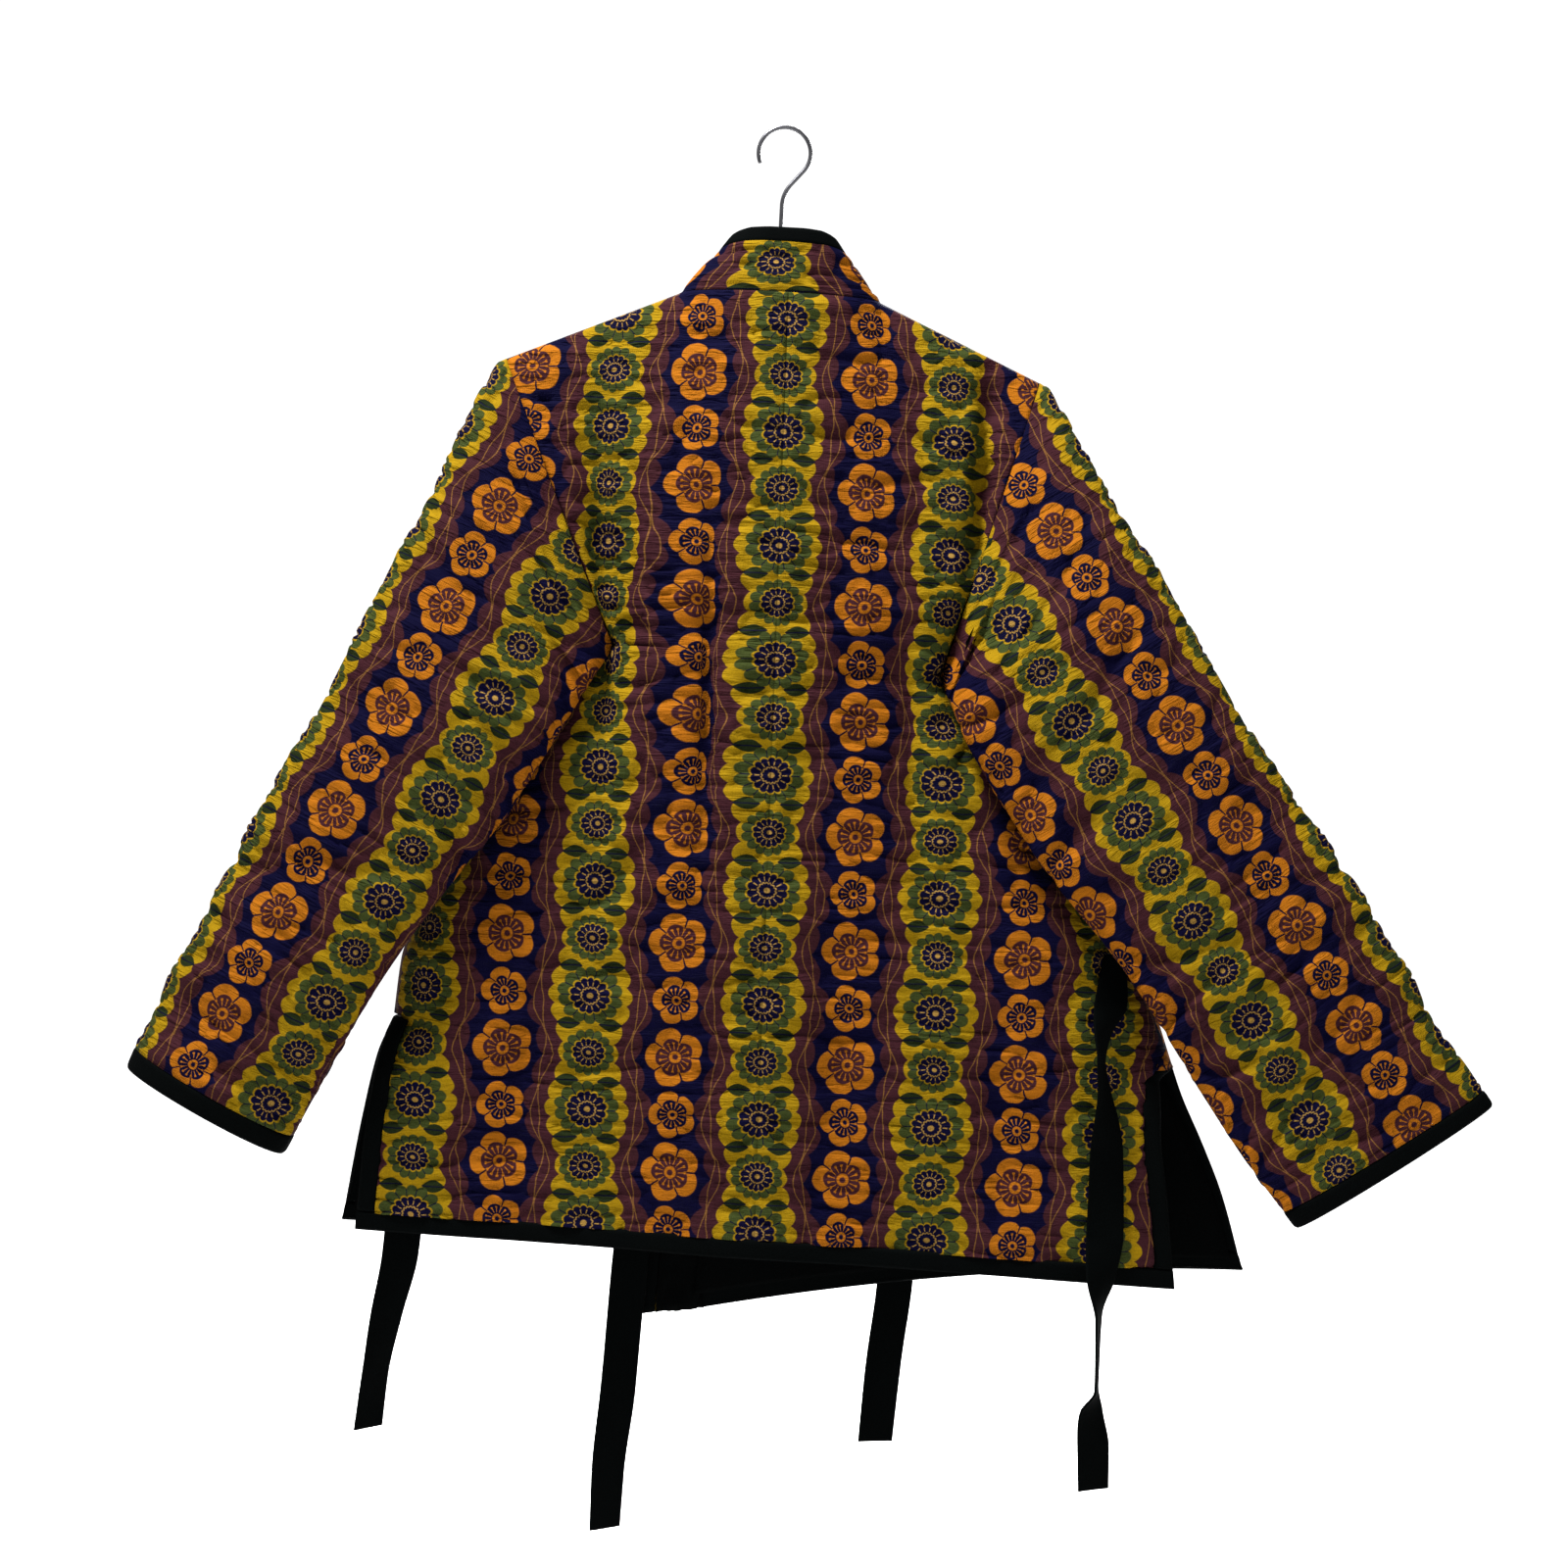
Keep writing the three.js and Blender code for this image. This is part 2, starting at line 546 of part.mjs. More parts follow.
for (const side of ["left", "right"])
  for (const face of [-1, 1]) {
    const name = face < 0 ? "back" : "front";
    const across = face < 0 ? ACROSS_BACK[side] : ACROSS_FRONT;
    const hem = 3 - hemShare(side, face);
    const seamV = SEAM / 165;
    const inside = (v) => 1 - slitShare(side, face, v);
    const rows = [...ARM_ROWS, ...SEAM_ROWS, ...SLIT_ROWS.map((s) => mix(2, hem, s)), hem];
    const whole = (v) => across.map((u) => (v > 2 ? u * inside(v) : u));
    add(`${name}_${side}`, panelWall(side, face, rows, whole, 0, PADDED), COLOURS.print);
    const bandRows = [...SLIT_ROWS.map((s) => mix(2, hem, s)), hem];
    const gap = SEAM / 250;
    const band = (v) => [inside(v) + gap, (1 + inside(v)) / 2, 1];
    add(`${name}_${side}_slit_band`, panelWall(side, face, bandRows, band, 0, PADDED), COLOURS.black);
    if (face > 0) {
      const hemRows = [hem + seamV, 3];
      const hemWall = panelWall(side, 1, hemRows, () => ACROSS_FRONT, 0, PADDED);
      add(`front_${side}_hem_band`, hemWall, COLOURS.black);
      const lining = (v) => ACROSS_FRONT.map((u) => Math.min(0.985, Math.max(0.02, u)) * inside(v));
      const liningRows = [...SLIT_ROWS.map((s) => mix(2, hem, s)), hem];
      const below = PADDED + 2 * SEAM;
      const sheet = panelWall(side, 1, liningRows, lining, below, below + LINING);
      add(`lining_front_${side}`, sheet, COLOURS.black);
    }
  }

// The back's hem band runs across both halves
function backHemBand() {
  const points = (depth) => [0, 1].map((row) => {
    const strip = (side) => ACROSS_BACK[side].slice(side === "left" ? 1 : 0).map((u) => {
      const v = row === 0 ? 3 - hemShare(side, -1) + SEAM / 165 : 3;
      return depth === 0 ? panelPoint(side, -1, u, v) : panelInner(side, -1, u, v, depth);
    });
    return [...strip("left").reverse(), ...strip("right")];
  });
  return closedWall(points(0), points(PADDED), false);
}
add("back_hem_band", backHemBand(), COLOURS.black);

// The collar: up the left front, round the neck and down the right front
const COLLAR_SEAM = 0.5;
const TRIM_START = COLLAR_WIDTH - COLLAR_TRIM;
const COLLAR_ACROSS = [COLLAR_SEAM, 0.5 * COLLAR_WIDTH, TRIM_START, TRIM_START + SEAM, COLLAR_WIDTH];
function frontCollarRow(side, v) {
  const line = FRONT_LINE[side];
  const lineZ = rowZ(side, v, line[line.length - 1].z);
  const lineX = reading(line, "z", "x", lineZ);
  const tilt = (reading(line, "z", "tilt", lineZ) * Math.PI) / 180;
  const lift = reading(line, "z", "lift", lineZ);
  const inward = side === "left" ? 1 : -1;
  const outer = COLLAR_ACROSS.map((w) => {
    const x = lineX + inward * Math.cos(tilt) * w;
    const z = lineZ + Math.sin(tilt) * w;
    return vec(x, frontY(side, x, z, v) + (lift * w) / COLLAR_WIDTH, z);
  });
  // the seam's inside opens a little more at the turn of the neck
  const room = COLLAR_SEAM + (v < 0.2 ? 1 : 0);
  const shift = vec(inward * Math.cos(tilt) * room, 0, Math.sin(tilt) * room);
  return { outer, seamInner: panelInner(side, 1, 0, v, PADDED).add(shift) };
}
function neckCollarRow(side, u) {
  const foot = backPoint(side, u, 0);
  const raised = vec(0, 0, COLLAR_SEAM);
  const tip = vec(
    reading(NECK_ROWS, "x", "edgeX", foot.x),
    reading(NECK_ROWS, "x", "edgeY", foot.x),
    reading(NECK_ROWS, "x", "edgeZ", foot.x),
  );
  const share = (w) => (w - COLLAR_SEAM) / (COLLAR_WIDTH - COLLAR_SEAM);
  const outer = COLLAR_ACROSS.map((w) => foot.clone().add(raised).lerp(tip, share(w)));
  return { outer, seamInner: panelInner(side, -1, u, 0, PADDED).add(raised) };
}
function collarRows() {
  const frontRows = (side) => {
    const down = [...ARM_ROWS, ...SEAM_ROWS, ...spaced(2.2, 3, 4)];
    return down.map((v) => frontCollarRow(side, v));
  };
  const neck = (side) => ACROSS_BACK[side].filter((u) => {
    const x = backPoint(side, u, 0).x;
    return x > NECK.left + 2 && x < NECK.right - 2;
  });
  const left = neck("left").reverse().map((u) => neckCollarRow("left", u));
  const right = neck("right").slice(1).map((u) => neckCollarRow("right", u));
  return [...frontRows("left").reverse(), ...left, ...right, ...frontRows("right")];
}
function collarGrids() {
  const rows = collarRows();
  const outer = rows.map((r) => r.outer);
  const inner = outer.map((row, i) => row.map((p, j) => {
    if (j === 0) return rows[i].seamInner;
    const k = j === 3 ? 2 : j;
    const before = outer[Math.max(0, i - 1)][k];
    const after = outer[Math.min(outer.length - 1, i + 1)][k];
    const across = row[Math.min(4, k + 2)].clone().sub(row[k - 1]);
    const n = after.clone().sub(before).cross(across).normalize();
    return p.clone().addScaledVector(n, -PADDED);
  }));
  return { outer, inner };
}
const collar = collarGrids();
const cut = (grid, from, to) => grid.map((row) => row.slice(from, to));
add("collar", closedWall(cut(collar.outer, 0, 3), cut(collar.inner, 0, 3), false), COLOURS.print);
add("collar_trim", closedWall(cut(collar.outer, 3, 5), cut(collar.inner, 3, 5), false), COLOURS.black);

// A point of a sleeve: along it, and round it from the top by way of the back
function sleevePoint(side, at, angle, inset) {
  const row = (column) => reading(SLEEVE[side], "at", column, at);
  const up = { x: row("upX"), z: row("upZ") };
  const low = { x: row("lowX"), z: row("lowZ") };
  const half = Math.hypot(up.x - low.x, up.z - low.z) / 2;
  const along = { x: (up.x - low.x) / (2 * half), z: (up.z - low.z) / (2 * half) };
  const flat = row("half");
  const sine = Math.sin(angle);
  const round = Math.sign(sine) * Math.abs(sine) ** SQUARENESS;
  let sunk = inset;
  for (const f of SLEEVE_FOLDS[side]) {
    const a = (at - f.at) / f.along;
    const b = (angle - f.round) / f.spread;
    sunk += f.deep * Math.exp(-a * a - b * b);
  }
  const facing = Math.hypot(Math.cos(angle) / half, sine / flat);
  const reach = half * Math.cos(angle) - (sunk * Math.cos(angle)) / half / facing;
  const out = flat * round - (sunk * sine) / flat / facing;
  return vec(
    (up.x + low.x) / 2 + along.x * reach,
    row("y") - out,
    (up.z + low.z) / 2 + along.z * reach,
  );
}
for (const side of ["left", "right"]) {
  const round = spaced(0, 2 * Math.PI, 26).slice(0, -1);
  const cuff = 1 - CUFF_BAND / 610;
  const start = (depth) => round.map((a) => armholePoint(side, a, depth, SEAM / 2));
  const ring = (at, depth) => round.map((a) => sleevePoint(side, at, a, depth));
  const rings = (list, depth) => list.map((at) => (at === 0 ? start(depth) : ring(at, depth)));
  const body = [0, ...spaced(0.05, cuff, 16)];
  add(`sleeve_${side}`, closedWall(rings(body, 0), rings(body, PADDED), true), COLOURS.print);
  const band = [cuff + SEAM / 600, 1];
  add(`cuff_band_${side}`, closedWall(rings(band, 0), rings(band, PADDED), true), COLOURS.black);
}

// A tie: a flat tape, turned about its middle line so that it shows only part of its width from behind
function tie(rows) {
  const outer = [];
  const inner = [];
  for (const r of rows) {
    const shown = Math.min(1, r.shows / TIE_WIDTH);
    const across = vec(shown, Math.sqrt(1 - shown * shown), 0);
    const face = vec(-across.y, across.x, 0);
    const middle = vec(r.x, r.y, r.z);
    const edge = (k, side) => middle.clone().addScaledVector(across, (k * TIE_WIDTH) / 2)
      .addScaledVector(face, (side * TAPE) / 2);
    outer.push([edge(-1, -1), edge(1, -1)]);
    inner.push([edge(-1, 1), edge(1, 1)]);
  }
  return closedWall(outer, inner, false);
}
for (const [name, rows] of Object.entries(TIES)) {
  const list = spaced(rows[0].z, rows[rows.length - 1].z, 22).map((z) => ({
    z,
    x: reading(rows, "z", "x", z),
    y: reading(rows, "z", "y", z),
    shows: reading(rows, "z", "shows", z),
  }));
  add(name, tie(list), COLOURS.black);
}

// The hanger's bar, from end to end
function barTop(x) {
  const line = BAR.top - BAR.slope * Math.abs(x);
  const away = ease((Math.abs(x) - HUMP.half) / (HUMP.foot - HUMP.half));
  return mix(HUMP.top, line, away);
}
function bar() {
  const half = BAR.thick / 2;
  const arm = [3, 8, 12, 17, 22, 30, 55, 90, 130, 170, 188, 191];
  const places = [...arm.map((x) => -x).reverse(), ...arm];
  const rings = places.map((x) => {
    const end = Math.abs(x) >= BAR.half ? 3 : 0;
    const top = barTop(x) - end;
    const deep = mix(BAR.deepMiddle, BAR.deepEnd, Math.abs(x) / BAR.half);
    const low = BAR.top - BAR.slope * Math.abs(x) - deep + end;
    const thin = half - end * 0.7;
    const soft = Math.min(BAR.edge, thin - 0.5);
    const front = [[thin - soft, top], [thin, top - soft], [thin, low + soft], [thin - soft, low]];
    const back = front.map(([y, z]) => [-y, z]).reverse();
    return [...front, ...back].map(([y, z]) => vec(x, y, z));
  });
  return solidFromRings(rings);
}

// A closed solid over rings of equal count, with flat ends
function solidFromRings(rings) {
  const n = rings[0].length;
  const positions = rings.flat().flatMap((p) => [p.x, p.y, p.z]);
  const index = [];
  for (let i = 0; i < rings.length - 1; i += 1)
    for (let j = 0; j < n; j += 1) {
      const k = (j + 1) % n;
      index.push(i * n + j, i * n + k, (i + 1) * n + k, i * n + j, (i + 1) * n + k, (i + 1) * n + j);
    }
  const end = (rings.length - 1) * n;
  for (let j = 1; j < n - 1; j += 1) index.push(0, j + 1, j, end, end + j, end + j + 1);
  if (volumeOf(positions, index) < 0)
    for (let i = 0; i < index.length; i += 3) [index[i + 1], index[i + 2]] = [index[i + 2], index[i + 1]];
  const geometry = new THREE.BufferGeometry();
  geometry.setAttribute("position", new THREE.Float32BufferAttribute(positions, 3));
  geometry.setIndex(index);
  return geometry;
}
add("hanger_bar", bar(), COLOURS.wood, 0.6);

// The hook: a straight stem, then a bend into an open circle
function hook() {
  const middle = HOOK.wire / 2 - HOOK.radius;
  const circle = spaced(-40, 205, 9).map((d) => {
    const a = (d * Math.PI) / 180;
    return vec(HOOK.radius * Math.cos(a), 0, middle + HOOK.radius * Math.sin(a));
  });
  const stem = [vec(0, 0, HUMP.top + SEAM), vec(0, 0, -62), vec(0.8, 0, -50), vec(7, 0, -40.5)];
  const path = new THREE.CatmullRomCurve3([...stem, ...circle], false, "centripetal");
  const count = 34;
  const rings = spaced(0, 1, count).map((t) => {
    const p = path.getPointAt(t);
    const along = path.getTangentAt(t);
    const side = vec(along.z, 0, -along.x).normalize();
    return spaced(0, 2 * Math.PI, 8).slice(0, -1).map((a) => p.clone()
      .addScaledVector(side, (HOOK.wire / 2) * Math.cos(a))
      .addScaledVector(vec(0, 1, 0), (HOOK.wire / 2) * Math.sin(a)));
  });
  return solidFromRings(rings);
}
add("hanger_hook", hook(), COLOURS.steel, 0.35, 1);

export default hanten;
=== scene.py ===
# A padded hanten, a short wrap jacket, on a wooden hanger and seen from behind.
# Blender works in metres, and the tables of the cloth are in millimetres.
import math

import bpy
import numpy as np
from mathutils import Matrix, Vector


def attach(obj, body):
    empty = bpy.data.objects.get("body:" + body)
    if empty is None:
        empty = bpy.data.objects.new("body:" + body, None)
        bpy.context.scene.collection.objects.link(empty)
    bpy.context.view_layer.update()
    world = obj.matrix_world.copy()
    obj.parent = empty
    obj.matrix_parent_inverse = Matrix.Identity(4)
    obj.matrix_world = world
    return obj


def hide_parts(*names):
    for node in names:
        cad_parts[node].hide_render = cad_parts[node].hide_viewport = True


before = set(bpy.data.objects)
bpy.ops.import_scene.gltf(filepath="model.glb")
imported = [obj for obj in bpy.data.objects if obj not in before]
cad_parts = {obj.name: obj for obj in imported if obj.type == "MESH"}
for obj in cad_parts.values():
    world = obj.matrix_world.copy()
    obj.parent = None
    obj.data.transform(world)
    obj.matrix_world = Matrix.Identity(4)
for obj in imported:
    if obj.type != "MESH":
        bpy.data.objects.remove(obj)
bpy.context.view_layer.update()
bpy.ops.object.select_all(action="DESELECT")

# Camera
# It stands two metres behind the garment, level with its middle, and is rolled three degrees, as the
# picture was taken: the whole frame spans 1.2 m at the hanger's plane.
AIM = Vector((0.0248, 0.0, -0.5005))
DISTANCE = 2.0
SPAN = 1.2
ROLL = math.radians(3)
bpy.ops.object.camera_add(location=AIM + Vector((0, -DISTANCE, 0)))
camera = bpy.context.object
camera.data.angle = 2 * math.atan(SPAN / 2 / DISTANCE)
camera.data.dof.use_dof = False
turned = Matrix.Rotation(math.radians(90), 4, "X") @ Matrix.Rotation(ROLL, 4, "Z")
camera.matrix_world = Matrix.Translation(camera.location) @ turned
bpy.context.scene.camera = camera

# Studio
# A plain pale floor well below the garment, white surroundings, and soft lights in front of the back.
bpy.ops.mesh.primitive_plane_add(size=24, location=(0, 6, -1.4))
floor = bpy.context.object
floor.name = "floor"
floor_paint = bpy.data.materials.new("floor_paint")
floor_paint.use_nodes = True
paint = floor_paint.node_tree.nodes["Principled BSDF"]
paint.inputs["Base Color"].default_value = (0.93, 0.93, 0.93, 1)
paint.inputs["Roughness"].default_value = 0.9
floor.data.materials.append(floor_paint)

world = bpy.data.worlds.new("studio")
bpy.context.scene.world = world
world.use_nodes = True
world.node_tree.nodes["Background"].inputs["Color"].default_value = (1, 1, 1, 1)
world.node_tree.nodes["Background"].inputs["Strength"].default_value = 1.1
bpy.context.scene.view_settings.view_transform = "Standard"

LIGHTS = [
    {"name": "key", "place": (-0.85, -0.72, 1.85), "size": 0.6, "watts": 575},
    {"name": "fill", "place": (1.9, -1.9, -0.2), "size": 1.8, "watts": 30},
    {"name": "front", "place": (0.5, 2.4, 0.9), "size": 1.8, "watts": 220},
]
for light in LIGHTS:
    bpy.ops.object.light_add(type="AREA", location=light["place"])
    lamp = bpy.context.object
    lamp.name = light["name"]
    lamp.data.size = light["size"]
    lamp.data.energy = light["watts"]
    lamp.rotation_euler = (AIM - lamp.location).to_track_quat("-Z", "Y").to_euler()
bpy.ops.object.select_all(action="DESELECT")


# Back, two halves
# Printed cloth, padded about 4 mm thick, cut in two halves and joined by a centre back seam. It hangs from
# the hanger by its shoulder seams, and folds in beside the armholes where the sleeves drop over it.
MM = 0.001
PADDED = 4.0
OUTWARD = {"left": -1, "right": 1}
NECK_Z = -129.5
NECK = {"left": -74, "right": 80, "depth": 28, "swell": 1.3, "softens": 90}
SHOULDER = {"left": {"x": -204, "z": -186.5}, "right": {"x": 204, "z": -184}}
ARMPIT = {"left": {"x": -111, "z": -402}, "right": {"x": 140, "z": -412}}
ARMHOLE_DEPTH = 26
SQUARENESS = 0.8
CENTRE_TOP = 9
CENTRE_LEAN = -0.0163
SLIT_Z = {"left": -694, "right": -702}
BACK_HEM_Z = -858
COLUMNS_HANG = ("below", "out")
HANG = [(0, 0), (1.5, 5), (5, 9), (14, 12), (60, 21), (130, 31), (250, 39), (450, 40), (640, 33), (780, 29)]
COLUMNS_SIDE = ("z", "x", "y")
SIDE_SEAM = {
    "left": [
        (-402, -111, 0), (-412, -122, 10), (-434, -146, 18), (-470, -168, 21),
        (-544, -210, 21), (-607, -247, 19), (-650, -263, 16), (-694, -266, 12),
    ],
    "right": [
        (-412, 140, 0), (-422, 149, 10), (-445, 170, 18), (-490, 203, 21),
        (-540, 238, 21), (-588, 277, 20), (-640, 311, 17), (-702, 335, 12),
    ],
}
COLUMNS_EDGE = ("z", "x", "open")
BACK_EDGE = {
    "left": [(-694, -266, 0), (-708, -270, 0.4), (-740, -274, 0.85), (-790, -278, 1), (-853, -281, 1)],
    "right": [(-702, 335, 0), (-712, 323, 0.4), (-745, 323, 0.85), (-800, 330, 1), (-866, 339, 1)],
}
FRONT_EDGE = {
    "left": [(-694, -266, 0), (-725, -279, 0.5), (-775, -289, 0.9), (-856, -300, 1)],
    "right": [(-702, 335, 0), (-725, 345, 0.4), (-760, 363, 0.8), (-800, 381, 1), (-859, 400, 1)],
}

# Folds: middle across and up, lean, half length, half width, depth, and how much cloth each takes in
BACK_FOLDS = [
    (163, -300, 0.02, 115, 9, 22, 0),
    (-121, -335, -0.1, 110, 18, 20, 13),
    (-36, -440, -0.02, 110, 12, 9, 17),
    (-97, -578, 0.7, 45, 13, 6, 0),
    (118, -470, -0.12, 90, 15, 8, 3),
    (70, -640, -0.1, 120, 17, 5, 0),
    (-150, -700, 0.1, 110, 20, 6, 0),
    (200, -730, -0.1, 100, 22, 6, 0),
]

# Creases of the cloth's surface alone, down the back, and then across it with x and z changed over
BACK_CREASES = [
    (-36, -430, -0.02, 115, 5, 4.5, 5), (164, -310, 0.02, 100, 7, 6, 0), (-117, -400, -0.06, 100, 10, 8, 6),
    (-99, -320, 0, 65, 7, 4, 7), (119, -455, -0.12, 60, 6, 3.5, 5), (-62, -240, 0.25, 38, 6, 2.6, 0),
    (34, -520, 0.3, 44, 7, 2.4, 0), (97, -600, -0.35, 48, 8, 3, 0), (-172, -640, 0.5, 42, 8, 3.2, 0),
    (252, -690, -0.5, 46, 8, 3, 0), (152, -560, 0.6, 34, 7, 3, 0), (-14, -700, 0.2, 58, 9, 2.6, 0),
    (-204, -785, 0.15, 46, 10, 3, 0), (243, -800, -0.2, 48, 9, 3, 0), (66, -790, 0.1, 44, 10, 2.6, 0),
    (-150, -250, -0.8, 30, 6, 3, 0), (140, -215, 0.7, 30, 6, 2.6, 0), (-86, -500, 0.45, 36, 6, 2.8, 0),
]
CROSS_CREASES = [
    (-163, -38, 0.08, 44, 3.6, 2.4), (-178, 52, -0.1, 36, 3.2, 2.2), (-214, -84, 0.12, 40, 4, 2.4),
    (-236, 22, -0.04, 58, 3.4, 2.2), (-268, 104, 0.16, 38, 3.6, 2.6), (-292, -8, 0.05, 50, 3.8, 2),
    (-318, 66, -0.12, 34, 3.2, 2.4), (-352, -70, 0.1, 32, 3.6, 2.8), (-377, 30, 0.06, 54, 4, 2.2),
    (-418, 92, -0.14, 40, 3.4, 2.6), (-446, -82, 0.16, 34, 3.6, 2.8), (-468, 24, -0.05, 46, 3.4, 2.2),
    (-508, -60, 0.1, 48, 4.2, 2.4), (-536, 116, 0.14, 52, 4, 2.6), (-572, 8, -0.07, 44, 3.6, 2.2),
    (-604, -148, 0.22, 46, 4.4, 3), (-622, 160, -0.18, 50, 4.2, 2.8), (-655, -44, 0.08, 52, 4, 2.2),
    (-690, 80, -0.1, 48, 4, 2.4), (-722, -118, 0.12, 50, 4.4, 2.4), (-742, 210, -0.14, 46, 4.2, 2.6),
    (-768, 14, 0.05, 54, 4, 2.2), (-796, -176, 0.1, 40, 4, 2.2), (-812, 132, -0.08, 48, 4, 2.2),
]


def reading(rows, names, place, column, at):
    """A column's value at places in a table, on a smooth curve that never overshoots its rows."""
    xs = np.array([row[names.index(place)] for row in rows], float)
    ys = np.array([row[names.index(column)] for row in rows], float)
    if xs[0] > xs[-1]:
        xs, ys = xs[::-1], ys[::-1]
    at = np.clip(at, xs[0], xs[-1])
    slope = np.diff(ys) / np.diff(xs)
    same = slope[:-1] * slope[1:] > 0
    total = np.where(same, slope[:-1] + slope[1:], 1)
    inner = np.where(same, 2 * slope[:-1] * slope[1:] / total, 0)
    tangent = np.concatenate([slope[:1], inner, slope[-1:]])
    i = np.clip(np.searchsorted(xs, at, side="right") - 1, 0, len(xs) - 2)
    span = xs[i + 1] - xs[i]
    t = (at - xs[i]) / span
    start = ys[i] * (1 + 2 * t) + span * tangent[i] * t
    end = ys[i + 1] * (3 - 2 * t) - span * tangent[i + 1] * (1 - t)
    return start * (1 - t) ** 2 + end * t**2


def mix(a, b, t):
    return a + (b - a) * t


def ease(t):
    t = np.clip(t, 0, 1)
    return t * t * (3 - 2 * t)


def centre_x(z):
    return CENTRE_TOP + CENTRE_LEAN * (z - NECK_Z)


def shoulder_slope(side):
    return (SHOULDER[side]["z"] - NECK_Z) / (SHOULDER[side]["x"] - NECK[side])


def shoulder_z(x):
    left, right = (NECK_Z + shoulder_slope(side) * (x - NECK[side]) for side in OUTWARD)
    return np.where(x < centre_x(NECK_Z), left, right)


def neck_depth(x, below):
    share = (x - (NECK["left"] + NECK["right"]) / 2) / ((NECK["right"] - NECK["left"]) / 2)
    seam = NECK["depth"] * np.sqrt(np.clip(1 - share**2, 0, 1))
    swell = NECK["depth"] * np.exp(-((share / NECK["swell"]) ** 2))
    return mix(seam, swell, ease(below / NECK["softens"]))


def folded(folds, x, z):
    sunk = 0
    for fold_x, fold_z, lean, length, width, deep, *_ in folds:
        across = (x - fold_x - lean * (z - fold_z)) / width
        sunk = sunk + deep * np.exp(-(across**2) - ((z - fold_z) / length) ** 2)
    return sunk


def taken_in(folds, x, z):
    """How far the print moves sideways where a fold takes cloth in."""
    moved = 0
    for fold_x, fold_z, lean, length, width, _, takes in folds:
        across = (x - fold_x - lean * (z - fold_z)) / (1.6 * width)
        moved = moved + takes * across * np.exp(-(across**2) - ((z - fold_z) / length) ** 2)
    return moved


def near(distance, width):
    return np.exp(-((distance / width) ** 2))


def down(start, end, rows, columns):
    """A grid whose values run evenly down its rows."""
    return np.linspace(start, end, rows)[:, None] * np.ones((1, columns))


def closing(share):
    return np.sqrt(np.clip(1 - np.clip(share, 0, 1) ** 6, 0, 1))


def armhole_point(side, angle):
    top, low = SHOULDER[side], ARMPIT[side]
    half = math.hypot(top["x"] - low["x"], top["z"] - low["z"]) / 2
    along = ((top["x"] - low["x"]) / 2 / half, (top["z"] - low["z"]) / 2 / half)
    reach = half * np.cos(angle)
    round_it = np.sign(np.sin(angle)) * np.abs(np.sin(angle)) ** SQUARENESS
    x = (top["x"] + low["x"]) / 2 + along[0] * reach
    z = (top["z"] + low["z"]) / 2 + along[1] * reach
    return x, -ARMHOLE_DEPTH * round_it, z


def side_edge(side, face, v):
    """A panel's side edge: v is 0 to 1 down the armhole, 1 to 2 down the seam and 2 to 3 down the slit."""
    edges = BACK_EDGE[side] if face < 0 else FRONT_EDGE[side]
    arm_x, arm_y, arm_z = armhole_point(side, math.pi * np.clip(v, 0, 1))
    seam_z = mix(ARMPIT[side]["z"], SLIT_Z[side], v - 1)
    free_z = mix(SLIT_Z[side], edges[-1][0], v - 2)
    z = np.where(v <= 1, arm_z, np.where(v <= 2, seam_z, free_z))
    seam_x = reading(SIDE_SEAM[side], COLUMNS_SIDE, "z", "x", z)
    free_x = reading(edges, COLUMNS_EDGE, "z", "x", z)
    return np.where(v <= 1, arm_x, np.where(v <= 2, seam_x, free_x)), -face * arm_y, z


def lower_y(side, face, x, z, standing):
    edges = BACK_EDGE[side] if face < 0 else FRONT_EDGE[side]
    on_seam = z >= SLIT_Z[side]
    seam_x = reading(SIDE_SEAM[side], COLUMNS_SIDE, "z", "x", z)
    edge_x = np.where(on_seam, seam_x, reading(edges, COLUMNS_EDGE, "z", "x", z))
    opened = np.where(on_seam, 0, reading(edges, COLUMNS_EDGE, "z", "open", z))
    share = (x - centre_x(z)) / (edge_x - centre_x(z))
    seam_y = reading(SIDE_SEAM[side], COLUMNS_SIDE, "z", "y", np.maximum(z, SLIT_Z[side]))
    shut = mix(seam_y, face * standing, closing(share))
    free = face * standing * (1 - 0.15 * np.clip(share, 0, None) ** 4)
    return mix(shut, free, opened)


def dropped(v):
    """How far down the armhole a row lies, as a share of the armhole's height."""
    return (1 - np.cos(math.pi * np.clip(v, 0, 1))) / 2


def row_z(side, v, hem):
    arm = mix(NECK_Z, ARMPIT[side]["z"], dropped(v))
    seam = mix(ARMPIT[side]["z"], SLIT_Z[side], v - 1)
    return np.where(v <= 1, arm, np.where(v <= 2, seam, mix(SLIT_Z[side], hem, v - 2)))


